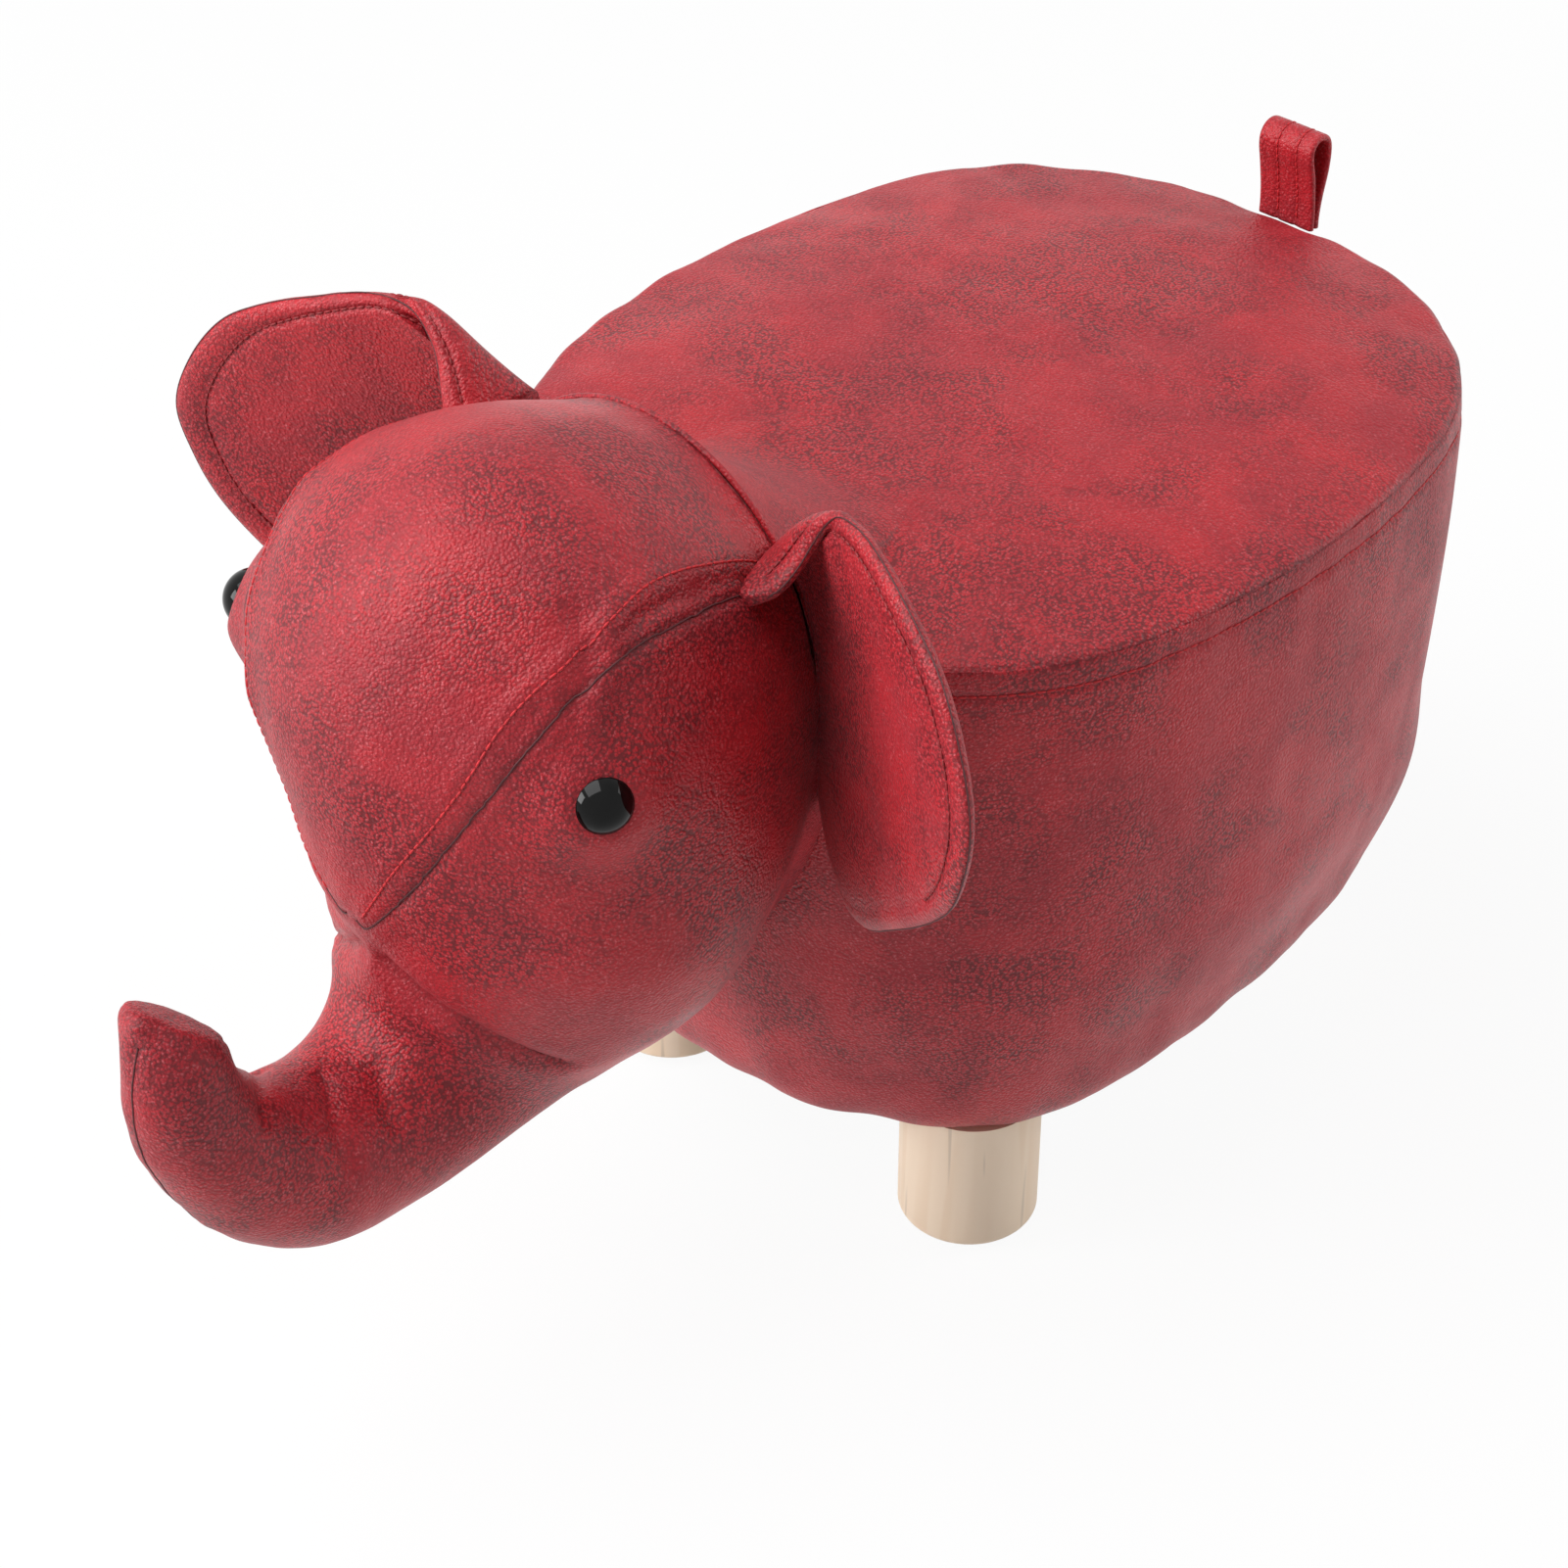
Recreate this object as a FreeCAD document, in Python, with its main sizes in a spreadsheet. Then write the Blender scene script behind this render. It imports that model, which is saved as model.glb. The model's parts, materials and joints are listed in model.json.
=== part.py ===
import FreeCAD, Part
import math
import os

import Sketcher

os.makedirs("parts", exist_ok=True)
doc = FreeCAD.newDocument("footstool")
sheet = doc.addObject("Spreadsheet::Sheet", "Sizes")
V = FreeCAD.Vector

# Driving sizes, in millimetres and degrees
SIZES = dict(
    # Drum-shaped body, measured over its cover
    seat_length=338.0,
    seat_width=288.0,
    seat_side_bow=0.982,
    seat_end_bow=1.083,
    seat_corner_share=0.403,
    seam_height=281.0,
    seat_crown=12.0,
    body_bottom=62.0,
    belly_height=148.0,
    belly_inset=30.0,
    cover_thickness=1.2,
    cover_return=14.0,
    # Wooden frame inside the body
    board_clearance=6.0,
    base_board_thickness=15.0,
    top_board_thickness=12.0,
    hoop_thickness=3.0,
    seat_foam_thickness=35.0,
    post_size=30.0,
    post_spread_share=0.521,
    post_reach_share=0.266,
    screw_diameter=4.0,
    screw_head_diameter=8.0,
    screw_length=45.0,
    fastener_clearance=0.1,
    # Legs and their fixings
    leg_diameter=52.0,
    leg_edge_round=3.0,
    front_leg_inset=47.6,
    front_leg_angle=37.1,
    rear_leg_inset=70.1,
    rear_leg_angle=52.0,
    bolt_diameter=8.0,
    bolt_chamfer=1.0,
    bolt_wood_length=30.0,
    bolt_thread_length=28.0,
    tee_flange_diameter=20.0,
    tee_flange_thickness=1.5,
    tee_barrel_diameter=10.0,
    tee_barrel_length=9.0,
    glide_diameter=40.0,
    glide_thickness=3.0,
    dust_cover_thickness=1.0,
    dust_cover_margin=4.0,
    staple_crown=10.0,
    staple_wire=0.8,
    staple_leg=5.0,
    staple_count=20.0,
    staple_margin=4.0,
    # Stuffed head and nape, with heights measured from the seat seam
    neck_forward=5.0,
    neck_width=144.0,
    neck_rise=71.0,
    neck_depth=34.0,
    nape_length=84.0,
    nape_swell=3.0,
    nape_tuck=2.0,
    head_length=147.0,
    head_width=194.0,
    head_rise=91.0,
    brow_rise=5.0,
    chin_drop=155.0,
    forehead_tip_drop=61.0,
    forehead_tip_back=14.0,
    forehead_overlap=40.0,
    forehead_depth=70.0,
    forehead_half_width=76.0,
    forehead_neck_width=106.0,
    # Trunk
    trunk_drop=130.0,
    trunk_root_radius=45.0,
    trunk_run=120.0,
    trunk_dip=14.0,
    trunk_forward=13.0,
    trunk_front_swell=23.0,
    trunk_curl_radius=48.0,
    trunk_tip_length=30.0,
    trunk_tip_radius=14.0,
    # Ears
    ear_reach=110.0,
    ear_height=152.0,
    ear_middle_rise=4.0,
    ear_sweep=24.0,
    ear_cup=15.0,
    ear_thickness=10.0,
    ear_root_radius=3.0,
    ear_root_length=90.0,
    ear_root_back=1.0,
    ear_seam_gap=0.15,
    soft_clearance=0.6,
    # Eyes
    eye_diameter=19.0,
    eye_dome=6.5,
    eye_rise=15.0,
    eye_forward_share=0.694,
    eye_side=78.0,
    eye_aim_back=46.0,
    eye_aim_drop=30.0,
    eye_shank_diameter=4.0,
    eye_shank_length=12.0,
    eye_washer_diameter=14.0,
    eye_washer_thickness=1.5,
    eye_washer_setback=2.0,
    # Tail loop
    tail_width=25.0,
    tail_length=36.0,
    tail_strap=3.0,
    tail_gap=9.0,
    tail_fold_gap=0.8,
    tail_root_radius=3.5,
    tail_root_height=2.0,
)

# Sizes that follow from the driving ones, so that the pieces keep together
DERIVED = dict(
    seat_side_radius="seat_length * seat_side_bow",
    seat_end_radius="seat_width * seat_end_bow",
    seat_corner_radius="seat_width * seat_corner_share",
    post_spread="seat_width * post_spread_share",
    post_reach="seat_length * post_reach_share",
    neck_reach="seat_length / 2 + neck_forward",
    neck_top="seam_height + neck_rise",
    head_top="seam_height + head_rise",
    brow_height="seam_height + brow_rise",
    chin_height="seam_height - chin_drop",
    forehead_tip_height="seam_height - forehead_tip_drop",
    trunk_low_height="seam_height - trunk_drop",
    ear_middle_height="seam_height + ear_middle_rise",
    eye_height="seam_height + eye_rise",
    eye_reach="neck_reach + head_length * eye_forward_share",
)
SHEET_ROWS = dict(SIZES)
for alias, formula in DERIVED.items():
    SHEET_ROWS[alias] = f"={formula}"
for row, (alias, content) in enumerate(SHEET_ROWS.items(), start=1):
    sheet.set(f"A{row}", alias)
    sheet.set(f"B{row}", str(content))
    sheet.setAlias(f"B{row}", alias)
doc.recompute()

# Shares and powers that shape the soft forms
CROWN_RINGS = (1.0, 0.94, 0.82, 0.64, 0.42, 0.18)
NAPE_FALL = 1.6
HEAD_SHARES = (0.0, 0.16, 0.33, 0.5, 0.66, 0.8, 0.905, 0.967, 0.992, 0.9995)
HEAD_WIDEST = 0.45
HEAD_HIGHEST = 0.5
CHIN_TURN = 0.62
EGG_TOP_ROUND = 0.98
EGG_LOW_ROUND = 0.4
EGG_LOW_GAIN = 0.44
EGG_LOW_POWER = 4
TRUNK_TAPER = 1.9
EAR_MIDDLE_SHARE = 0.26
EAR_RIM_ROUND = 0.7
EAR_ROOT_ROUND = 0.35
EAR_CUP_ROUND = 0.5
EAR_BEAD_BELOW = 0.6
EAR_PANEL_LIMIT = 85
EAR_WADDING_LIMIT = 70
# Overlap of cutting tools, and a length beyond the whole object
CUT_MARGIN = 1.0
FAR = 1000.0


def size(alias):
    """Return one driving size from the sheet."""
    return float(sheet.get(alias))


def cell(formula):
    """Turn a formula in bare size names into one that names the sheet."""
    words = []
    for word in formula.split():
        words.append(f"Sizes.{word}" if word in SHEET_ROWS else word)
    return " ".join(words)


# Heights and reaches that several pieces share
COVER = size("cover_thickness")
SEAM = size("seam_height")
BOTTOM = size("body_bottom")
BOARD_BOTTOM = BOTTOM + COVER
BASE_TOP = BOARD_BOTTOM + size("base_board_thickness")
TOP_BOARD_TOP = SEAM - size("seat_foam_thickness")
TOP_BOARD_BOTTOM = TOP_BOARD_TOP - size("top_board_thickness")
BOARD_INSET = size("belly_inset") + size("board_clearance")
HOOP_INSET = BOARD_INSET - size("hoop_thickness")
DUST_BOTTOM = BOTTOM - size("dust_cover_thickness")
BOLT_HOLE = size("bolt_diameter") / 2 + size("fastener_clearance")
NAPE_BASE = SEAM + COVER - size("nape_tuck")
HEAD_FRONT = size("neck_reach") + size("head_length")
TRUNK_CURL_REACH = HEAD_FRONT + size("trunk_forward")
TRUNK_FRONT = TRUNK_CURL_REACH + size("trunk_curl_radius") + size("trunk_front_swell")
TAIL_REACH = size("seat_length") / 2 + size("tail_root_radius") + size("soft_clearance")
TAIL_BACK = TAIL_REACH + size("tail_gap") / 2 + size("tail_strap")
# The whole object is centred on the origin from trunk to tail
SHIFT = (TRUNK_FRONT - TAIL_BACK) / 2


def place(shape, x=0.0, y=0.0, z=0.0):
    """Return a copy of a shape moved by the given amounts."""
    copy = shape.copy()
    copy.translate(V(x, y, z))
    return copy


def add_feature(label, shape):
    """Keep a finished shape as an object of the document, moved into the shared frame."""
    item = doc.addObject("Part::Feature", label)
    item.Label = label
    item.Shape = shape
    shift = FreeCAD.Placement(V(0, SHIFT, 0), FreeCAD.Rotation())
    item.Placement = shift.multiply(shape.Placement)
    return item


def add_body(label):
    """Start a body whose own origin stands under the middle of the seat."""
    body = doc.addObject("PartDesign::Body", label)
    body.Label = label
    body.Placement = FreeCAD.Placement(V(0, SHIFT, 0), FreeCAD.Rotation())
    return body


def add_sketch(body, name, role="XY_Plane", offset=0.0):
    """Add a sketch on one of the body's own origin planes."""
    sketch = body.newObject("Sketcher::SketchObject", name)
    plane = [item for item in body.Origin.OriginFeatures if item.Role == role][0]
    sketch.AttachmentSupport = (plane, [""])
    sketch.MapMode = "FlatFace"
    sketch.AttachmentOffset = FreeCAD.Placement(V(0, 0, offset), FreeCAD.Rotation())
    return sketch


def oval_arcs(inset):
    """Return the eight tangent arcs of the seat outline, drawn in by the inset."""
    side = size("seat_side_radius")
    end = size("seat_end_radius")
    corner = size("seat_corner_radius")
    side_x = size("seat_width") / 2 - side
    end_y = size("seat_length") / 2 - end
    # The corner centre lies on two circles about the centres of the side and end arcs
    reach_side = side - corner
    reach_end = end - corner
    gap = math.hypot(side_x, end_y)
    along = (reach_side ** 2 - reach_end ** 2 + gap ** 2) / (2 * gap)
    across = math.sqrt(reach_side ** 2 - along ** 2)
    ux, uy = -side_x / gap, end_y / gap
    corner_x = side_x + along * ux - across * uy
    corner_y = along * uy + across * ux
    side_angle = math.atan2(corner_y, corner_x - side_x)
    end_angle = math.atan2(corner_y - end_y, corner_x)
    turn = math.pi
    arcs = []
    arcs.append((side_x, 0.0, side, -side_angle, side_angle))
    arcs.append((corner_x, corner_y, corner, side_angle, end_angle))
    arcs.append((0.0, end_y, end, end_angle, turn - end_angle))
    arcs.append((-corner_x, corner_y, corner, turn - end_angle, turn - side_angle))
    arcs.append((-side_x, 0.0, side, turn - side_angle, turn + side_angle))
    arcs.append((-corner_x, -corner_y, corner, turn + side_angle, turn + end_angle))
    arcs.append((0.0, -end_y, end, turn + end_angle, 2 * turn - end_angle))
    arcs.append((corner_x, -corner_y, corner, 2 * turn - end_angle, 2 * turn - side_angle))
    return [(cx, cy, radius - inset, start, stop) for cx, cy, radius, start, stop in arcs]


def oval_wire(inset, z, scale=1.0):
    """Return the seat outline as a wire at one height."""
    edges = []
    for cx, cy, radius, start, stop in oval_arcs(inset):
        circle = Part.Circle(V(cx * scale, cy * scale, z), V(0, 0, 1), radius * scale)
        edges.append(Part.ArcOfCircle(circle, start, stop).toShape())
    return Part.Wire(edges)


def oval_block(inset, low, high):
    """Return an upright block of the seat outline."""
    return Part.Face(oval_wire(inset, low)).extrude(V(0, 0, high - low))


def sketch_oval(sketch, inset_formula, inset):
    """Draw the seat outline in a sketch, with its arc radii bound to the sheet."""
    radii = ["seat_side_radius", "seat_corner_radius", "seat_end_radius", "seat_corner_radius"]
    first = sketch.GeometryCount
    arcs = oval_arcs(inset)
    for cx, cy, radius, start, stop in arcs:
        circle = Part.Circle(V(cx, cy, 0), V(0, 0, 1), radius)
        sketch.addGeometry(Part.ArcOfCircle(circle, start, stop), False)
    for index in range(len(arcs)):
        following = first + (index + 1) % len(arcs)
        sketch.addConstraint(Sketcher.Constraint("Coincident", first + index, 2, following, 1))
    for index, arc in enumerate(arcs):
        name = f"radius_{first + index}"
        number = sketch.addConstraint(Sketcher.Constraint("Radius", first + index, arc[2]))
        sketch.renameConstraint(number, name)
        radius_formula = cell(f"{radii[index % len(radii)]} - ( {inset_formula} )")
        sketch.setExpression(f"Constraints.{name}", radius_formula)


def sketch_circles(sketch, centres, formula, radius):
    """Draw equal circles in a sketch, with their radius bound to the sheet."""
    for x, y in centres:
        index = sketch.addGeometry(Part.Circle(V(x, y, 0), V(0, 0, 1), radius), False)
        name = f"hole_{index}"
        number = sketch.addConstraint(Sketcher.Constraint("Radius", index, radius))
        sketch.renameConstraint(number, name)
        sketch.setExpression(f"Constraints.{name}", cell(formula))


def pad(body, sketch, name, formula, reverse=False):
    """Pad a sketch by a length that is bound to the sheet."""
    feature = body.newObject("PartDesign::Pad", name)
    feature.Profile = sketch
    feature.setExpression("Length", cell(formula))
    feature.Reversed = reverse
    sketch.Visibility = False
    return feature


def revolve_profile(points):
    """Turn a closed profile of radius and height about the upright axis."""
    corners = [V(radius, 0, height) for radius, height in points]
    wire = Part.makePolygon(corners + corners[:1])
    return Part.Face(wire).revolve(V(0, 0, 0), V(0, 0, 1), 360)


def group_at(shape, places):
    """Return equal solids at several places as one group."""
    return Part.Compound([place(shape, x, y) for x, y in places])


def post_places():
    """Return the middles of the four frame posts."""
    half_x = size("post_spread") / 2
    half_y = size("post_reach") / 2
    return [(half_x, -half_y), (-half_x, -half_y), (half_x, half_y), (-half_x, half_y)]


def leg_places():
    """Return the middles of the four legs, front pair first, set in from the seat's corners."""
    corner_x, corner_y, corner_radius = oval_arcs(0.0)[1][:3]
    front = corner_radius - size("front_leg_inset")
    front_angle = math.radians(size("front_leg_angle"))
    front_x = corner_x + front * math.cos(front_angle)
    front_y = -corner_y - front * math.sin(front_angle)
    rear = corner_radius - size("rear_leg_inset")
    rear_angle = math.radians(size("rear_leg_angle"))
    rear_x = corner_x + rear * math.cos(rear_angle)
    rear_y = corner_y + rear * math.sin(rear_angle)
    return [(front_x, front_y), (-front_x, front_y), (rear_x, rear_y), (-rear_x, rear_y)]


def screw_shape():
    """Return one countersunk wood screw with its head up, top face at height zero."""
    shank = size("screw_diameter") / 2
    head = size("screw_head_diameter") / 2
    length = size("screw_length")
    cone = head - shank
    return revolve_profile([(0, 0), (head, 0), (shank, -cone), (shank, -length + shank), (0, -length)])


def screw_hollow():
    """Return the hole that one wood screw fills, with its clearance."""
    clearance = size("fastener_clearance")
    shank = size("screw_diameter") / 2 + clearance
    head = size("screw_head_diameter") / 2 + clearance
    length = size("screw_length") + clearance
    cone = head - shank
    return revolve_profile([(0, 0), (head, 0), (shank, -cone), (shank, -length), (0, -length)])


def upper_screws(shape):
    """Return a screw shape at each place in the top board, head up."""
    return group_at(place(shape, z=TOP_BOARD_TOP), post_places())


def lower_screws(shape):
    """Return a screw shape at each place in the base board, head down."""
    turned = shape.copy()
    turned.rotate(V(0, 0, 0), V(1, 0, 0), 180)
    return group_at(place(turned, z=BOARD_BOTTOM), post_places())


def make_board(label, low, thickness_formula, hollows, hole_formula, hole_radius, holes):
    """Make one plywood board of the frame, with its bolt holes and screw holes."""
    body = add_body(f"{label}_blank")
    sketch = add_sketch(body, f"{label}_outline", offset=low)
    sketch_oval(sketch, "belly_inset + board_clearance", BOARD_INSET)
    if holes:
        sketch_circles(sketch, holes, hole_formula, hole_radius)
    body.Tip = pad(body, sketch, f"{label}_thickness", thickness_formula)
    doc.recompute()
    drilled = doc.addObject("Part::Cut", label)
    drilled.Label = label
    drilled.Base = body
    drilled.Tool = add_feature(f"{label}_screw_holes", hollows)
    doc.recompute()
    return drilled


def make_post(label, x, y):
    """Make one upright post of the frame, with its pilot holes."""
    block = doc.addObject("Part::Box", f"{label}_blank")
    block.setExpression("Length", cell("post_size"))
    block.setExpression("Width", cell("post_size"))
    block.Height = TOP_BOARD_BOTTOM - BASE_TOP
    half = size("post_size") / 2
    block.Placement = FreeCAD.Placement(V(x - half, y - half + SHIFT, BASE_TOP), FreeCAD.Rotation())
    pilots = Part.Compound([upper_screws(screw_hollow()), lower_screws(screw_hollow())])
    post = doc.addObject("Part::Cut", label)
    post.Label = label
    post.Base = block
    post.Tool = add_feature(f"{label}_pilot_holes", pilots)
    doc.recompute()
    return post


def make_hoop():
    """Make the hardboard hoop that closes the frame all round."""
    body = add_body("side_hoop")
    sketch = add_sketch(body, "hoop_outline", offset=BOARD_BOTTOM)
    outer_formula = "belly_inset + board_clearance - hoop_thickness"
    sketch_oval(sketch, outer_formula, HOOP_INSET)
    sketch_oval(sketch, "belly_inset + board_clearance", BOARD_INSET)
    height = "seam_height - seat_foam_thickness - body_bottom - cover_thickness"
    body.Tip = pad(body, sketch, "hoop_height", height)
    doc.recompute()
    return body


def belly_solid(inset, low, high):
    """Return the side form of the body: upright above, curling in towards its underside."""
    steps = 7
    turn = size("belly_height")
    rise = turn - low
    wires = []
    for step in range(steps + 1):
        angle = math.radians(90 * (1 - step / steps))
        drawn = size("belly_inset") * (1 - math.cos(angle))
        wires.append(oval_wire(inset + drawn, turn - rise * math.sin(angle)))
    curl = Part.makeLoft(wires, True, False)
    return curl.fuse(oval_block(inset, turn, high)).removeSplitter()


def crown_solid(inset, low, base):
    """Return a block with the seat outline whose top swells from its edge to a crown."""
    block = oval_block(inset, low, base)
    wires = []
    for scale in CROWN_RINGS:
        height = base + size("seat_crown") * (1 - scale ** 2)
        wires.append(oval_wire(inset, height, scale))
    return block.fuse(Part.makeLoft(wires, True, False)).removeSplitter()


def arch_wire(y, half, low, top):
    """Return an upright arch: a flat base with one arc over it."""
    left = V(-half, y, low)
    right = V(half, y, low)
    arc = Part.Arc(right, V(0, y, top), left).toShape()
    return Part.Wire([Part.LineSegment(left, right).toShape(), arc])


def nape_solid(inset):
    """Return the stuffed rise from the seat up to the neck seam."""
    stations = 5
    base = SEAM + COVER
    wires = []
    for step in range(stations):
        share = step / (stations - 1)
        y = -size("neck_reach") + size("nape_length") * share
        half = size("neck_width") / 2 + size("nape_swell") * math.sin(math.pi * share) - inset
        rise = size("neck_top") - base
        top = base + rise * (1 - share) ** NAPE_FALL + size("nape_tuck") - inset
        wires.append(arch_wire(y, half, NAPE_BASE, top))
    return Part.makeLoft(wires, True, False)


def egg_arcs(top, low, half, top_radius, low_radius):
    """Solve the four tangent arcs of an egg: a top, a base and two equal sides."""
    top_centre = top - top_radius
    low_centre = low + low_radius
    span = 2 * (top_centre - low_centre)
    tilt = 2 * (top_radius - low_radius) / span
    level = (top_centre ** 2 - low_centre ** 2 - top_radius ** 2 + low_radius ** 2) / span
    offset = level - top_centre
    first = tilt ** 2
    second = 2 * (tilt * offset - half + top_radius)
    third = half ** 2 + offset ** 2 - top_radius ** 2
    if first < 1e-9:
        side_radius = -third / second
    else:
        side_radius = (-second - math.sqrt(second ** 2 - 4 * first * third)) / (2 * first)
    if side_radius < half:
        side_radius = (-second + math.sqrt(second ** 2 - 4 * first * third)) / (2 * first)
    side_x = half - side_radius
    side_z = level + tilt * side_radius
    return top_centre, low_centre, side_radius, side_x, side_z


def egg_wire(y, top, low, half, top_radius, low_radius, inset):
    """Return an upright egg-shaped outline, drawn in by the inset."""
    top_centre, low_centre, side_radius, side_x, side_z = egg_arcs(top, low, half, top_radius, low_radius)
    side = side_radius - inset
    upper = math.atan2(top_centre - side_z, -side_x)
    lower = math.atan2(low_centre - side_z, -side_x)
    high = V(0, y, top - inset)
    base = V(0, y, low + inset)
    right_high = V(side_x + side * math.cos(upper), y, side_z + side * math.sin(upper))
    right_low = V(side_x + side * math.cos(lower), y, side_z + side * math.sin(lower))
    middle = (upper + lower) / 2
    right = V(side_x + side * math.cos(middle), y, side_z + side * math.sin(middle))
    flip = FreeCAD.Matrix()
    flip.A11 = -1
    left_high = flip.multiply(right_high)
    left_low = flip.multiply(right_low)
    left = flip.multiply(right)
    edges = []
    edges.append(Part.Arc(right_low, right, right_high).toShape())
    edges.append(Part.Arc(right_high, high, left_high).toShape())
    edges.append(Part.Arc(left_high, left, left_low).toShape())
    edges.append(Part.Arc(left_low, base, right_low).toShape())
    return Part.Wire(edges)


def swell(share, peak, start, full, end):
    """Rise from start to full at the peak, then fall round to the end like an ellipse."""
    if share < peak:
        return start + (full - start) * math.sin(math.pi / 2 * share / peak)
    fall = (share - peak) / (1 - peak)
    return end + (full - end) * math.sqrt(1 - fall ** 2)


def head_wires(inset):
    """Return the outlines of the stuffed head from inside the neck to the brow."""
    wires = []
    length = size("head_length") - inset
    neck_share = -size("neck_depth") / size("head_length")
    for share in (neck_share,) + HEAD_SHARES:
        y = -size("neck_reach") - length * share
        inner = max(share, 0.0)
        half = swell(inner, HEAD_WIDEST, size("neck_width") / 2, size("head_width") / 2, 0.0)
        top = swell(inner, HEAD_HIGHEST, size("neck_top"), size("head_top"), size("brow_height"))
        low = swell(inner, CHIN_TURN, size("chin_height"), size("chin_height"), size("brow_height"))
        top_radius = EGG_TOP_ROUND * half
        low_radius = (EGG_LOW_ROUND + EGG_LOW_GAIN * inner ** EGG_LOW_POWER) * half
        wires.append(egg_wire(y, top, low, half, top_radius, low_radius, inset))
    return wires


def head_solid(inset):
    """Return the stuffed head before it is set against the body."""
    return Part.makeLoft(head_wires(inset), True, False)


def trunk_station(share):
    """Return the middle, direction and radius of the trunk at one share of its length."""
    run = size("trunk_run")
    curl = size("trunk_curl_radius")
    dip = math.radians(size("trunk_dip"))
    bend = curl * (math.pi / 2 + dip)
    gone = share * (run + bend + size("trunk_tip_length"))
    taper = size("trunk_root_radius") - size("trunk_tip_radius")
    radius = size("trunk_root_radius") - taper * share ** TRUNK_TAPER
    middle_y = -TRUNK_CURL_REACH
    middle_z = size("trunk_low_height") + curl
    # The turn is measured from straight ahead, so the run comes down to it at the dip
    turn = -dip + min(max(gone - run, 0.0), bend) / curl
    heading = V(0, -math.cos(turn), math.sin(turn))
    spot = V(0, middle_y - curl * math.sin(turn), middle_z - curl * math.cos(turn))
    beyond = min(gone - run, 0.0) + max(gone - run - bend, 0.0)
    return spot + heading * beyond, heading, radius


def trunk_solid(inset):
    """Return the tapering trunk that runs forward and curls up to its tip."""
    wires = []
    stations = 12
    for step in range(stations + 1):
        middle, direction, radius = trunk_station(step / stations)
        across = V(1, 0, 0)
        upward = across.cross(direction)
        corners = []
        for eighth in range(8):
            angle = eighth * math.pi / 4
            ray = across * math.cos(angle) + upward * math.sin(angle)
            corners.append(middle + ray * (radius - inset))
        edges = []
        for quarter in range(4):
            start = corners[2 * quarter]
            stop = corners[(2 * quarter + 2) % 8]
            edges.append(Part.Arc(start, corners[2 * quarter + 1], stop).toShape())
        wires.append(Part.Wire(edges))
    return Part.makeLoft(wires, True, False)


def forehead_prism():
    """Return the shield-shaped block that outlines the forehead panel."""
    tip = V(0, -HEAD_FRONT + size("forehead_tip_back"), size("forehead_tip_height"))
    neck = V(0, -size("neck_reach"), size("neck_top"))
    along = (neck - tip).normalize()
    outward = V(1, 0, 0).cross(along)
    reach = (neck - tip).Length + size("forehead_overlap")
    half = size("forehead_half_width")
    end = size("forehead_neck_width") / 2
    start = tip - outward * size("forehead_depth")
    side_middle = start + along * (reach / 2) + V(half, 0, 0)
    side_end = start + along * reach + V(end, 0, 0)
    flip = FreeCAD.Matrix()
    flip.A11 = -1
    other_middle = flip.multiply(side_middle)
    other_end = flip.multiply(side_end)
    edges = []
    edges.append(Part.Arc(start, side_middle, side_end).toShape())
    edges.append(Part.LineSegment(side_end, other_end).toShape())
    edges.append(Part.Arc(other_end, other_middle, start).toShape())
    return Part.Face(Part.Wire(edges)).extrude(outward * (size("forehead_depth") + size("head_top")))


def half_space(sign):
    """Return a large block on one side of the middle plane."""
    block = Part.makeBox(FAR, 2 * FAR, 2 * FAR, V(0, -FAR, -FAR))
    if sign < 0:
        block = place(block, x=-FAR)
    return block


def eye_pose(head):
    """Return the place on the head where the left eye sits and its outward direction."""
    inside_y = -size("eye_reach") + size("eye_aim_back")
    inside = V(0, inside_y, size("eye_height") - size("eye_aim_drop"))
    aim = V(size("eye_side"), -size("eye_aim_back"), size("eye_aim_drop")).normalize()
    line = Part.LineSegment(inside, inside + aim * 2 * size("head_width")).toShape()
    crossing = head.common(line)
    tips = [vertex.Point for vertex in crossing.Vertexes]
    tips.sort(key=lambda point: (point - inside).Length)
    return tips[-1], aim


def turn_to(shape, point, direction):
    """Return a shape made on the upright axis, turned to a direction and moved to a point."""
    copy = shape.copy()
    copy.Placement = FreeCAD.Placement(point, FreeCAD.Rotation(V(0, 0, 1), direction))
    return copy


def eye_shape():
    """Return one domed eye with its shank, its rim a little below the skin."""
    rim = size("eye_diameter") / 2
    dome = size("eye_dome")
    radius = (rim ** 2 + dome ** 2) / (2 * dome)
    ball = Part.makeSphere(radius, V(0, 0, dome - radius - COVER))
    cap = ball.common(Part.makeCylinder(rim + CUT_MARGIN, dome, V(0, 0, -COVER)))
    length = size("eye_shank_length")
    shank = Part.makeCylinder(size("eye_shank_diameter") / 2, length, V(0, 0, -length - COVER))
    return cap.fuse(shank).removeSplitter()


def eye_washer_shape():
    """Return the locking washer that grips the shank of one eye."""
    outer = size("eye_washer_diameter") / 2
    thick = size("eye_washer_thickness")
    low = -size("eye_shank_length") + size("eye_washer_setback")
    disc = Part.makeCylinder(outer, thick, V(0, 0, low))
    hole = Part.makeCylinder(size("eye_shank_diameter") / 2, 2 * thick, V(0, 0, low - thick / 2))
    return disc.cut(hole)


def mirrored(shape):
    """Return the other-hand copy of a shape."""
    return shape.mirror(V(0, 0, 0), V(1, 0, 0))


def ear_root():
    """Return the foot of the left ear's hinge line."""
    side = size("neck_width") / 2 + size("ear_root_radius") + size("soft_clearance")
    return V(side, -size("neck_reach") + size("ear_root_back"), 0)


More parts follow.
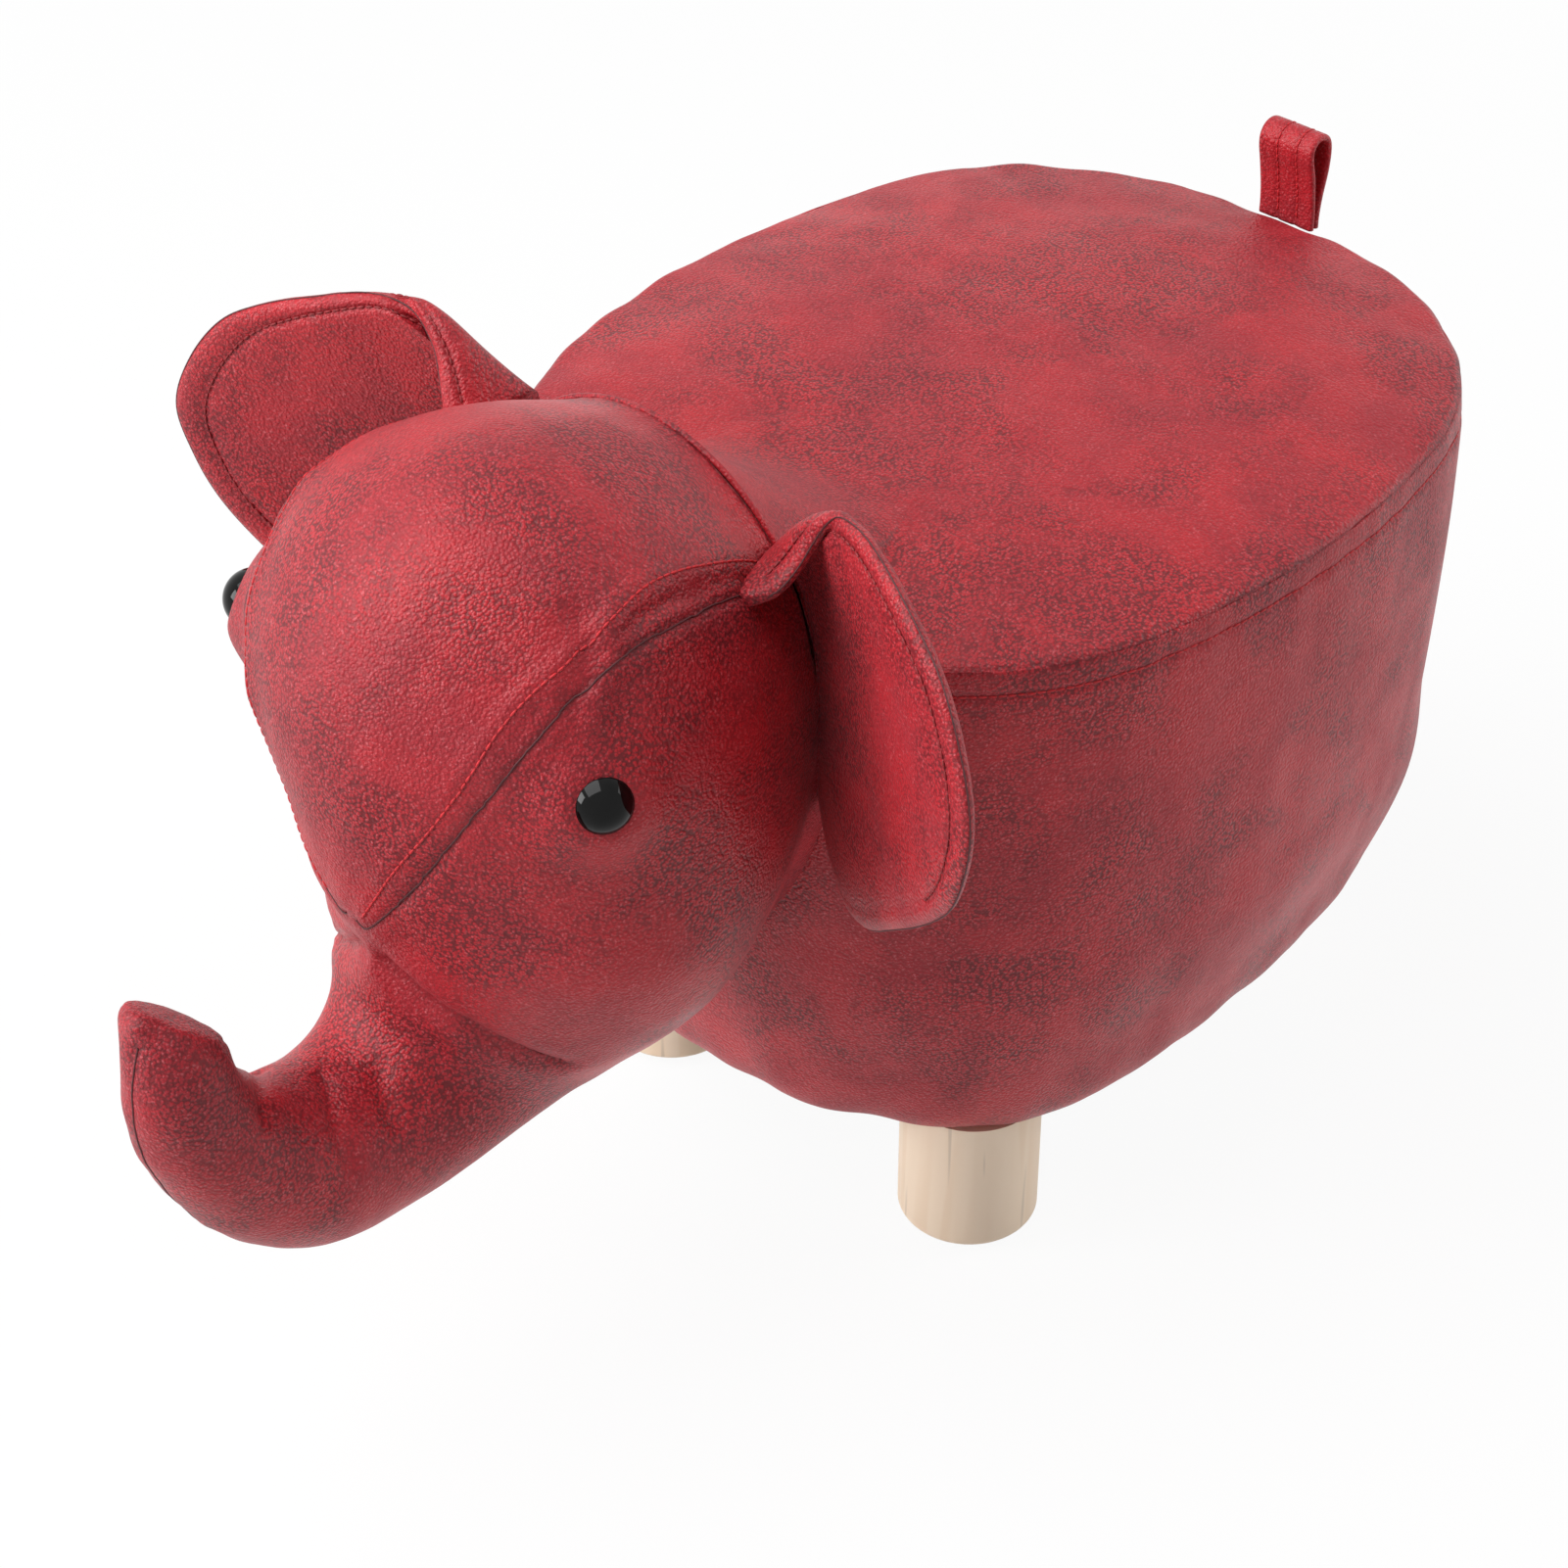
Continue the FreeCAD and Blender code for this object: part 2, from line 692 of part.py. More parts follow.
def ear_wire(angle, front, back):
    """Return one level outline of the ear between two of its layers."""
    shrink = max(math.cos(angle), 0.0)
    middle = EAR_MIDDLE_SHARE * size("ear_reach")
    rim = middle + (size("ear_reach") - middle) * shrink ** EAR_RIM_ROUND
    root = middle * (1 - shrink ** EAR_ROOT_ROUND)
    z = size("ear_middle_height") + size("ear_height") / 2 * math.sin(angle)
    cup = size("ear_cup") * shrink ** EAR_CUP_ROUND
    sweep = math.radians(size("ear_sweep"))
    foot = ear_root()
    outward = V(math.cos(sweep), -math.sin(sweep), 0)
    backward = V(math.sin(sweep), math.cos(sweep), 0)

    def spot(reach, depth):
        return foot + outward * reach + backward * depth + V(0, 0, z)

    half = (root + rim) / 2
    swell_depth = shrink ** EAR_CUP_ROUND
    front_end, front_swell = front
    back_end, back_swell = back
    front_middle = spot(half, cup + front_end + front_swell * swell_depth)
    back_middle = spot(half, cup + back_end + back_swell * swell_depth)
    front_arc = Part.Arc(spot(root, front_end), front_middle, spot(rim, front_end))
    back_arc = Part.Arc(spot(rim, back_end), back_middle, spot(root, back_end))
    edges = [front_arc.toShape()]
    edges.append(Part.LineSegment(spot(rim, front_end), spot(rim, back_end)).toShape())
    edges.append(back_arc.toShape())
    edges.append(Part.LineSegment(spot(root, back_end), spot(root, front_end)).toShape())
    return Part.Wire(edges)


def ear_layer(front, back, limit):
    """Return one layer of the ear, lofted from its lower to its upper edge."""
    steps = 10
    wires = []
    for step in range(steps + 1):
        angle = math.radians(limit) * (2 * step / steps - 1)
        wires.append(ear_wire(angle, front, back))
    return Part.makeLoft(wires, True, False)


def ear_bead():
    """Return the round seam roll on the ear's hinge line."""
    foot = ear_root()
    low = size("ear_middle_height") - EAR_BEAD_BELOW * size("ear_root_length")
    return Part.makeCylinder(size("ear_root_radius"), size("ear_root_length"), V(foot.x, foot.y, low))


def make_ears():
    """Make both ears: a front panel, wadding and a back panel with the root roll."""
    swell_half = size("ear_thickness") / 2 - COVER
    gap = size("ear_seam_gap")
    bead = ear_bead()
    front = ear_layer((-COVER - gap, -swell_half), (-gap, -swell_half), EAR_PANEL_LIMIT).cut(bead)
    back = ear_layer((gap, swell_half), (gap + COVER, swell_half), EAR_PANEL_LIMIT)
    back = back.fuse(bead).removeSplitter()
    wadding = ear_layer((-gap / 2, gap - swell_half), (gap / 2, swell_half - gap), EAR_WADDING_LIMIT)
    wadding = wadding.cut(bead).cut(front).cut(back)
    for hand, change in (("left", lambda shape: shape), ("right", mirrored)):
        add_feature(f"{hand}_ear_front", change(front))
        add_feature(f"{hand}_ear_back", change(back))
        add_feature(f"{hand}_ear_wadding", change(wadding))


def make_leg(label, x, y):
    """Make one turned pine leg with rounded rims and its bolt hole."""
    low = size("glide_thickness")
    radius = size("leg_diameter") / 2
    body = add_body(label)
    sketch = add_sketch(body, f"{label}_outline", offset=low)
    sketch_circles(sketch, [(x, y)], "leg_diameter / 2", radius)
    turned = pad(body, sketch, f"{label}_length", "body_bottom - dust_cover_thickness - glide_thickness")
    body.Tip = turned
    doc.recompute()
    rounded = body.newObject("PartDesign::Fillet", f"{label}_foot")
    rims = [f"Edge{number}" for number, edge in enumerate(turned.Shape.Edges, start=1)
            if edge.isClosed() and abs(edge.BoundBox.ZMax - low) < 0.01]
    rounded.Base = (turned, rims)
    rounded.setExpression("Radius", cell("leg_edge_round"))
    body.Tip = rounded
    doc.recompute()
    bore = body.newObject("PartDesign::Pocket", f"{label}_bolt_hole")
    ring = add_sketch(body, f"{label}_bolt_ring", offset=DUST_BOTTOM)
    sketch_circles(ring, [(x, y)], "bolt_diameter / 2", size("bolt_diameter") / 2)
    bore.Profile = ring
    bore.setExpression("Length", cell("bolt_wood_length"))
    body.Tip = bore
    doc.recompute()


def make_leg_fixings():
    """Make the hanger bolts, tee nuts and felt glides of the four legs."""
    places = leg_places()
    bolt = size("bolt_diameter") / 2
    low = DUST_BOTTOM - size("bolt_wood_length")
    high = DUST_BOTTOM + size("bolt_thread_length")
    taper = bolt / 2
    chamfer = size("bolt_chamfer")
    point = [(0, low), (taper, low), (bolt, low + bolt)]
    crest = [(bolt, high - chamfer), (bolt - chamfer, high), (0, high)]
    add_feature("leg_hanger_bolts", group_at(revolve_profile(point + crest), places))
    barrel = size("tee_barrel_diameter") / 2
    flange = size("tee_flange_diameter") / 2
    rise = BASE_TOP + size("tee_flange_thickness")
    drop = BASE_TOP - size("tee_barrel_length")
    sleeve = [(bolt, drop), (barrel, drop), (barrel, BASE_TOP)]
    plate = [(flange, BASE_TOP), (flange, rise), (bolt, rise)]
    add_feature("leg_tee_nuts", group_at(revolve_profile(sleeve + plate), places))
    body = add_body("leg_glides")
    sketch = add_sketch(body, "glide_outlines")
    sketch_circles(sketch, places, "glide_diameter / 2", size("glide_diameter") / 2)
    body.Tip = pad(body, sketch, "glide_depth", "glide_thickness")
    doc.recompute()


def make_dust_cover():
    """Make the cloth under the frame, with a hole for each leg bolt."""
    inset = size("belly_inset") + size("dust_cover_margin")
    body = add_body("dust_cover_blank")
    sketch = add_sketch(body, "dust_cover_outline", offset=DUST_BOTTOM)
    sketch_oval(sketch, "belly_inset + dust_cover_margin", inset)
    sketch_circles(sketch, leg_places(), "bolt_diameter / 2 + fastener_clearance", BOLT_HOLE)
    body.Tip = pad(body, sketch, "dust_cover_depth", "dust_cover_thickness")
    doc.recompute()
    slots = doc.addObject("Part::Cut", "dust_cover")
    slots.Label = "dust_cover"
    slots.Base = body
    slots.Tool = add_feature("dust_cover_slots", staples())
    doc.recompute()


def staples():
    """Return the ring of staples that hold the cover's edge and the dust cover."""
    count = int(size("staple_count"))
    wire = size("staple_wire")
    crown = size("staple_crown")
    inset = size("belly_inset") + size("dust_cover_margin") + size("staple_margin")
    spots = oval_wire(inset, DUST_BOTTOM).discretize(Number=4 * count + 1)
    clear_of_leg = size("leg_diameter") / 2 + crown
    solids = []
    for number in range(count):
        index = 4 * number + 2
        spot = spots[index]
        if min(math.hypot(spot.x - x, spot.y - y) for x, y in leg_places()) < clear_of_leg:
            continue
        run = (spots[index + 1] - spots[index - 1]).normalize()
        bar = Part.makeBox(crown, wire, wire, V(-crown / 2, -wire / 2, -wire))
        prong = Part.makeBox(wire, wire, size("staple_leg"), V(-crown / 2, -wire / 2, 0))
        staple = bar.fuse([prong, place(prong, x=crown - wire)]).removeSplitter()
        staple.Placement = FreeCAD.Placement(spot, FreeCAD.Rotation(V(1, 0, 0), run))
        solids.append(staple)
    return Part.Compound(solids)


def make_tail():
    """Make the folded strap loop that stands on the rear seam."""
    root = size("tail_root_radius")
    strap = size("tail_strap")
    gap = size("tail_gap") / 2
    high = size("tail_length")
    middle = high - gap - strap
    outer = gap + strap
    base = SEAM + size("tail_root_height")
    half = size("tail_width") / 2

    def outline(radius, foot, low):
        lean = math.asin((radius - foot) / (middle - low))
        side = V(0, radius * math.cos(lean), middle - radius * math.sin(lean))
        other = V(0, -side.y, side.z)
        edges = [Part.LineSegment(V(0, foot, low), side).toShape()]
        edges.append(Part.Arc(side, V(0, 0, middle + radius), other).toShape())
        edges.append(Part.LineSegment(other, V(0, -foot, low)).toShape())
        edges.append(Part.LineSegment(V(0, -foot, low), V(0, foot, low)).toShape())
        return Part.Face(Part.Wire(edges))

    loop = outline(outer, strap, 0.0).cut(outline(gap, size("tail_fold_gap") / 2, 2 * root))
    strap_solid = place(loop.extrude(V(2 * half, 0, 0)), x=-half)
    roll = Part.makeCylinder(root, 2 * half, V(-half, 0, 0), V(1, 0, 0))
    tail = strap_solid.fuse(roll).removeSplitter()
    add_feature("tail_loop", place(tail, y=TAIL_REACH, z=base))


def make_frame():
    """Make the boards, posts, hoop and screws of the wooden frame."""
    barrel = "tee_barrel_diameter / 2"
    radius = size("tee_barrel_diameter") / 2
    low_hollows = Part.Compound([lower_screws(screw_hollow()), staples()])
    high_hollows = upper_screws(screw_hollow())
    low_depth = "base_board_thickness"
    high_depth = "top_board_thickness"
    make_board("base_board", BOARD_BOTTOM, low_depth, low_hollows, barrel, radius, leg_places())
    make_board("top_board", TOP_BOARD_BOTTOM, high_depth, high_hollows, barrel, radius, [])
    names = ["front_left_post", "front_right_post", "rear_left_post", "rear_right_post"]
    for name, (x, y) in zip(names, post_places()):
        make_post(name, x, y)
    make_hoop()
    screws = upper_screws(screw_shape()).Solids + lower_screws(screw_shape()).Solids
    add_feature("frame_screws", Part.Compound(screws))


def make_body_cover():
    """Make the foam, the stuffed nape and the two cover panels of the body."""
    core = oval_block(HOOP_INSET, BOTTOM - CUT_MARGIN, TOP_BOARD_TOP + CUT_MARGIN)
    side_foam = belly_solid(COVER, BOARD_BOTTOM, TOP_BOARD_TOP).cut(core)
    add_feature("side_foam", side_foam)
    outer = belly_solid(0.0, BOTTOM, SEAM)
    inner = belly_solid(COVER, BOARD_BOTTOM, SEAM + CUT_MARGIN)
    return_inset = size("belly_inset") + size("cover_return")
    opening = oval_block(return_inset, BOTTOM - CUT_MARGIN, BOARD_BOTTOM + CUT_MARGIN)
    bolt_holes = group_at(Part.makeCylinder(BOLT_HOLE, SEAM), leg_places())
    hollows = [inner, opening, staples(), bolt_holes]
    add_feature("side_cover", outer.cut(hollows))
    foam = crown_solid(COVER, TOP_BOARD_TOP, SEAM)
    filled = crown_solid(0.0, SEAM - CUT_MARGIN, SEAM)
    skin = crown_solid(0.0, SEAM, SEAM + COVER)
    nape_inner = nape_solid(COVER)
    add_feature("seat_foam", foam)
    add_feature("neck_stuffing", nape_inner.cut(filled))
    seat_cover = skin.fuse(nape_solid(0.0)).cut([filled, nape_inner])
    add_feature("seat_cover", seat_cover)


def make_head():
    """Make the stuffed head, the trunk, their panels and the eyes."""
    outer = head_solid(0.0)
    inner = head_solid(COVER)
    body_block = belly_solid(0.0, BOTTOM, SEAM)
    nape_block = Part.makeBox(2 * FAR, FAR, FAR, V(-FAR, -size("neck_reach"), NAPE_BASE))
    keep_off = [body_block, nape_block]
    point, aim = eye_pose(outer)
    eye = turn_to(eye_shape(), point, aim)
    washer = turn_to(eye_washer_shape(), point, aim)
    eyes = [eye, mirrored(eye)]
    washers = [washer, mirrored(washer)]
    shell = outer.cut(inner).cut(keep_off).cut(eyes)
    shield = forehead_prism()
    add_feature("forehead_panel", shell.common(shield))
    cheeks = shell.cut(shield)
    add_feature("left_head_panel", cheeks.common(half_space(1)))
    add_feature("right_head_panel", cheeks.common(half_space(-1)))
    add_feature("head_stuffing", inner.cut(keep_off).cut(eyes + washers))
    add_feature("left_eye", eye)
    add_feature("right_eye", mirrored(eye))
    add_feature("eye_washers", Part.Compound(washers))
    trunk_outer = trunk_solid(0.0)
    trunk_inner = trunk_solid(COVER)
    sleeve = trunk_outer.cut([trunk_inner, outer, body_block])
    add_feature("left_trunk_panel", sleeve.common(half_space(1)))
    add_feature("right_trunk_panel", sleeve.common(half_space(-1)))
    add_feature("trunk_stuffing", trunk_inner.cut([outer, body_block]))
    tip, direction, radius = trunk_station(1.0)
    add_feature("trunk_tip_panel", Part.makeCylinder(radius, COVER, tip, direction))


make_frame()
make_body_cover()
make_dust_cover()
add_feature("dust_cover_staples", staples())
leg_names = ["front_left_leg", "front_right_leg", "rear_left_leg", "rear_right_leg"]
for leg_name, (leg_x, leg_y) in zip(leg_names, leg_places()):
    make_leg(leg_name, leg_x, leg_y)
make_leg_fixings()
make_head()
make_ears()
make_tail()
doc.recompute()

# Pieces that are written out, with the helper solids left in the document
HELPERS = ("_blank", "_screw_holes", "_pilot_holes", "_slots")
written = 0
for item in doc.Objects:
    kinds = ("PartDesign::Body", "Part::Cut", "Part::Feature")
    if item.TypeId not in kinds or item.Label.endswith(HELPERS):
        continue
    broken = [state for state in item.State if state in ("Invalid", "Error")]
    if broken or item.Shape.isNull() or not item.Shape.isValid():
        raise RuntimeError(f"{item.Label} is not a sound shape: {item.State}")
    item.Shape.exportStep(f"parts/{item.Label}.step")
    box = item.Shape.optimalBoundingBox(False)
    written += 1
    print(f"{item.Label}: {len(item.Shape.Solids)} solids, {item.Shape.Volume:.0f} mm3, "
          f"{box.XLength:.1f} x {box.YLength:.1f} x {box.ZLength:.1f} mm")
print(f"{written} pieces written, shift {SHIFT:.2f}")
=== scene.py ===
import json
import logging
import math
from dataclasses import dataclass, field
from enum import Enum

import bmesh
import bpy
import numpy as np
from mathutils import Matrix, Vector, noise
from mathutils.bvhtree import BVHTree
from mathutils.kdtree import KDTree


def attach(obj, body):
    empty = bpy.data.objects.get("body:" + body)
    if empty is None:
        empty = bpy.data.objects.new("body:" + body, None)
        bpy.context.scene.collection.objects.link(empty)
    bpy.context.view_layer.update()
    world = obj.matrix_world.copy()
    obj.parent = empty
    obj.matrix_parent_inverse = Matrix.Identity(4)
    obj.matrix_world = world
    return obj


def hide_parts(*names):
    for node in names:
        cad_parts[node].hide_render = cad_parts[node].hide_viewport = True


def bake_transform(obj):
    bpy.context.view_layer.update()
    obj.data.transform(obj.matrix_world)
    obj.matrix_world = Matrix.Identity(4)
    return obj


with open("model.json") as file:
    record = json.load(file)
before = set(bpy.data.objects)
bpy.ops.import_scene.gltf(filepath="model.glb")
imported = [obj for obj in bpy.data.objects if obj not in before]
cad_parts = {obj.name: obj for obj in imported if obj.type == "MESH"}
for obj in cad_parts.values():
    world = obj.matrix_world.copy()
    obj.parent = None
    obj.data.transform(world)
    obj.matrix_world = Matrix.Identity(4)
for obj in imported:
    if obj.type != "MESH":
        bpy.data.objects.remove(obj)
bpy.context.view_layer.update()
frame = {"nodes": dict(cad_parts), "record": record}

LOG = logging.getLogger("footstool")
MM = 0.001
# The middle of the seat stands this far behind the middle of the whole object, in millimetres
SEAT_MIDDLE = np.array([0.0, 112.2, 0.0])
# Length of the stuffing simulation in frames, and its cloth's mass and stiffness
CLOTH_FRAMES = 16
CLOTH_MASS = 0.01
CLOTH_STIFFNESS = 1.0
# Half the width of the painted shade line in a seam's groove, in millimetres
SEAM_SHADE_WIDTH = 1.6


class Body(Enum):
    """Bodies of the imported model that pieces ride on."""

    STOOL = "stool"
    LEFT_EAR = "left_ear"
    RIGHT_EAR = "right_ear"
    TAIL = "tail"


class Slot(Enum):
    """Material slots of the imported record."""

    COVER = "red_cover"
    DUST = "dust_cloth"


class Side(Enum):
    """Left and right hand of the animal, as the sign of its X axis."""

    LEFT = 1
    RIGHT = -1


def smooth_step(values: np.ndarray) -> np.ndarray:
    """Ease values from 0 to 1.

    Args:
        values: Any numbers; they are clipped to 0 and 1 first.

    Returns:
        The eased numbers.
    """
    clipped = np.clip(values, 0.0, 1.0)
    return clipped * clipped * (3.0 - 2.0 * clipped)


def bell(values: np.ndarray, middle: float, width: float) -> np.ndarray:
    """Return a bell curve of values: 1 at the middle, fading over the width."""
    return np.exp(-((values - middle) / width) ** 2)


def noise_at(points: np.ndarray, scale: float, seed: float) -> np.ndarray:
    """Read smooth noise at points.

    Args:
        points: Rows of x, y, z in millimetres.
        scale: Size of the noise's lumps in millimetres.
        seed: Offset that makes one noise differ from another.

    Returns:
        One number from about -1 to 1 for each point.
    """
    shifted = points / scale + seed
    return np.array([noise.noise(Vector(p)) for p in shifted])


def lengths_along(points: np.ndarray) -> np.ndarray:
    """Return each point's distance from the first one, measured along the line."""
    return np.concatenate([[0.0], np.cumsum(np.linalg.norm(np.diff(points, axis=0), axis=1))])


def at_lengths(points: np.ndarray, gone: np.ndarray, wanted: np.ndarray) -> np.ndarray:
    """Return the places at wanted lengths of a line whose points have the lengths gone."""
    return np.stack([np.interp(wanted, gone, column) for column in points.T], 1)


def resample(points: np.ndarray, step: float) -> np.ndarray:
    """Space points evenly along a line.

    Args:
        points: Rows of x, y, z along the line.
        step: Wanted distance between neighbours.

    Returns:
        The evenly spaced points.
    """
    gone = lengths_along(points)
    count = max(int(round(gone[-1] / step)), 2)
    return at_lengths(points, gone, np.linspace(0.0, gone[-1], count + 1))


def flowing_line(controls: np.ndarray, step: float) -> np.ndarray:
    """Draw a smooth line through control points.

    Args:
        controls: Rows of coordinates that the line goes through.
        step: Distance between the points of the result.

    Returns:
        Evenly spaced points on a Catmull-Rom curve.
    """
    ends = np.concatenate([[2 * controls[0] - controls[1]], controls, [2 * controls[-1] - controls[-2]]])
    share = np.linspace(0.0, 1.0, 24, endpoint=False)[:, None]
    runs = []
    for first, second, third, fourth in zip(ends, ends[1:], ends[2:], ends[3:]):
        runs.append(0.5 * (2 * second + (third - first) * share
                           + (2 * first - 5 * second + 4 * third - fourth) * share ** 2
                           + (3 * second - first - 3 * third + fourth) * share ** 3))
    return resample(np.concatenate(runs + [controls[-1:]]), step)


def mirrored(points: np.ndarray) -> np.ndarray:
    """Return points on the other side of the middle plane."""
    return points * np.array([-1.0, 1.0, 1.0])


def ring_faces(rings: int, count: int, start: int = 0) -> list[tuple[int, ...]]:
    """List the faces between closed rings of points.

    Args:
        rings: Number of rings, one after the other.
        count: Points in each ring.
        start: Index of the first point.

    Returns:
        Four-cornered faces.
    """
    faces = []
    for ring in range(rings - 1):
        low = start + ring * count
        for index in range(count):
            following = (index + 1) % count
            faces.append((low + index, low + following, low + count + following, low + count + index))
    return faces


def fan_faces(ring_start: int, count: int, middle: int, forward: bool) -> list[tuple[int, ...]]:
    """List the faces that close a ring to one middle point.

    Args:
        ring_start: Index of the ring's first point.
        count: Points in the ring.
        middle: Index of the middle point.
        forward: Whether the faces keep the ring's own direction.

    Returns:
        Three-cornered faces.
    """
    faces = []
    for index in range(count):
        here = ring_start + index
        following = ring_start + (index + 1) % count
        faces.append((here, following, middle) if forward else (following, here, middle))
    return faces


def tube_shape(rings: list[np.ndarray], start: int = 0) -> tuple[np.ndarray, list[tuple[int, ...]]]:
    """Join closed rings to a tube with closed ends.

    Args:
        rings: Points of each ring, as many in one as in the next.
        start: Index of the first point.

    Returns:
        The points and the faces of the tube.
    """
    count = len(rings[0])
    last = start + len(rings) * count
    ends = [rings[0].mean(0, keepdims=True), rings[-1].mean(0, keepdims=True)]
    faces = ring_faces(len(rings), count, start)
    faces += fan_faces(start, count, last, False)
    faces += fan_faces(last - count, count, last + 1, True)
    return np.concatenate(rings + ends), faces


def mesh_object(name: str, points: np.ndarray, faces: list[tuple[int, ...]]) -> bpy.types.Object:
    """Make a smooth-shaded closed mesh object from points in millimetres.

    Args:
        name: Name of the piece.
        points: Rows of x, y, z in the shared frame.
        faces: Corner indices of each face.

    Returns:
        The new object, with its faces turned outwards.
    """
    mesh = bpy.data.meshes.new(name)
    mesh.from_pydata((points * MM).tolist(), [], faces)
    work = bmesh.new()
    work.from_mesh(mesh)
    bmesh.ops.remove_doubles(work, verts=work.verts, dist=1e-7)
    bmesh.ops.recalc_face_normals(work, faces=work.faces)
    work.to_mesh(mesh)
    work.free()
    mesh.polygons.foreach_set("use_smooth", [True] * len(mesh.polygons))
    piece = bpy.data.objects.new(name, mesh)
    bpy.context.scene.collection.objects.link(piece)
    return piece


def mesh_points(mesh: bpy.types.Mesh) -> np.ndarray:
    """Return a mesh's points in millimetres.

    Args:
        mesh: Mesh to read.

    Returns:
        Rows of x, y, z.
    """
    flat = np.empty(len(mesh.vertices) * 3)
    mesh.vertices.foreach_get("co", flat)
    return flat.reshape(-1, 3) / MM


def set_mesh_points(mesh: bpy.types.Mesh, points: np.ndarray) -> None:
    """Move a mesh's points to new places in millimetres."""
    mesh.vertices.foreach_set("co", (points * MM).ravel())
    mesh.update()


def mesh_normals(mesh: bpy.types.Mesh) -> np.ndarray:
    """Return the outward direction at each point of a mesh.

    Args:
        mesh: Mesh to read.

    Returns:
        Rows of unit directions.
    """
    flat = np.empty(len(mesh.vertices) * 3)
    mesh.vertices.foreach_get("normal", flat)
    return flat.reshape(-1, 3)


def relax(mesh: bpy.types.Mesh, rounds: int, weights: np.ndarray) -> None:
    """Even out a mesh by moving each point towards its neighbours.

    Args:
        mesh: Mesh to change.
        rounds: Number of passes.
        weights: Share of the way that each point moves in a pass.
    """
    edges = np.empty(len(mesh.edges) * 2, dtype=np.int64)
    mesh.edges.foreach_get("vertices", edges)
    first, second = edges.reshape(-1, 2).T
    points = mesh_points(mesh)
    count = np.bincount(first, minlength=len(points)) + np.bincount(second, minlength=len(points))
    for _ in range(rounds):
        total = np.zeros_like(points)
        for axis in range(3):
            total[:, axis] += np.bincount(first, points[second, axis], len(points))
            total[:, axis] += np.bincount(second, points[first, axis], len(points))
        points += (total / count[:, None] - points) * weights[:, None]
    set_mesh_points(mesh, points)


def baked_copy(source: bpy.types.Object, name: str) -> bpy.types.Object:
    """Turn an object and its modifiers into a new plain mesh object, and delete the old one.

    Args:
        source: Object with live modifiers.
        name: Name of the new piece.

    Returns:
        The plain mesh object.
    """
    bpy.context.view_layer.update()
    graph = bpy.context.evaluated_depsgraph_get()
    mesh = bpy.data.meshes.new_from_object(source.evaluated_get(graph), depsgraph=graph)
    bpy.data.objects.remove(source)
    mesh.name = name
    piece = bpy.data.objects.new(name, mesh)
    bpy.context.scene.collection.objects.link(piece)
    mesh.polygons.foreach_set("use_smooth", [True] * len(mesh.polygons))
    return piece


def puffed(piece: bpy.types.Object, name: str, sewn: np.ndarray, pressure: float,
           cap: float) -> bpy.types.Object:
    """Let the stuffing press a cover outwards between its seams with a cloth simulation.

    Args:
        piece: Closed mesh object, which is used up.
        name: Name of the result.
        sewn: True for each point that a seam holds.
        pressure: Pressure of the stuffing.
        cap: Furthest that a point may move, in millimetres.

    Returns:
        A new plain mesh object.
    """
    before = mesh_points(piece.data)
    group = piece.vertex_groups.new(name="sewn")
    group.add([int(index) for index in np.nonzero(sewn)[0]], 1.0, "REPLACE")
    layer = piece.modifiers.new("stuffing", "CLOTH")
    cloth = layer.settings
    cloth.quality = 6
    cloth.mass = CLOTH_MASS
    cloth.tension_stiffness = CLOTH_STIFFNESS
    cloth.compression_stiffness = CLOTH_STIFFNESS
    cloth.shear_stiffness = CLOTH_STIFFNESS / 2
    cloth.bending_stiffness = CLOTH_STIFFNESS
    cloth.use_pressure = True
    cloth.uniform_pressure_force = pressure
    cloth.vertex_group_mass = group.name
    cloth.effector_weights.gravity = 0.0
    layer.collision_settings.use_collision = False
    layer.collision_settings.use_self_collision = False
    for number in range(1, CLOTH_FRAMES + 1):
        bpy.context.scene.frame_set(number)
    made = baked_copy(piece, name)
    bpy.context.scene.frame_set(1)
    move = mesh_points(made.data) - before
    length = np.linalg.norm(move, axis=1, keepdims=True)
    LOG.info("%s: the stuffing moves the cover up to %.1f mm, half of it over %.1f mm", name, length.max(),
             float(np.median(length)))
    eased = cap * np.tanh(length / cap)
    set_mesh_points(made.data, before + move * eased / np.maximum(length, 1e-6))
    made.vertex_groups.clear()
    return made


def point_tree(points: np.ndarray) -> KDTree:
    """Build a search tree of points.

    Args:
        points: Rows of x, y, z.

    Returns:
        The tree, ready for searches.
    """
    tree = KDTree(len(points))
    for index, point in enumerate(points):
        tree.insert(Vector(point), index)
    tree.balance()
    return tree


def near_lines(points: np.ndarray, lines: list[np.ndarray], reach: float) -> np.ndarray:
    """Return True for each point within reach of any of some lines."""
    tree = point_tree(np.concatenate([resample(line, 1.5) for line in lines]))
    return np.array([tree.find(Vector(point))[2] < reach for point in points])


def surface_of(piece: bpy.types.Object) -> BVHTree:
    """Return a search tree of a piece's faces, in metres."""
    mesh = piece.data
    return BVHTree.FromPolygons([v.co for v in mesh.vertices], [tuple(p.vertices) for p in mesh.polygons])


def snapped(tree: BVHTree, points: np.ndarray, lift: float) -> np.ndarray:
    """Move points onto a surface.

    Args:
        tree: Search tree of the surface.
        points: Rows in millimetres.
        lift: Height above the surface in millimetres.

    Returns:
        The nearest points on the surface, lifted.
    """
    rows = []
    for point in points:
        place, normal, _, _ = tree.find_nearest(Vector(point * MM))
        rows.append(np.array(place) / MM + np.array(normal) * lift)
    return np.array(rows)


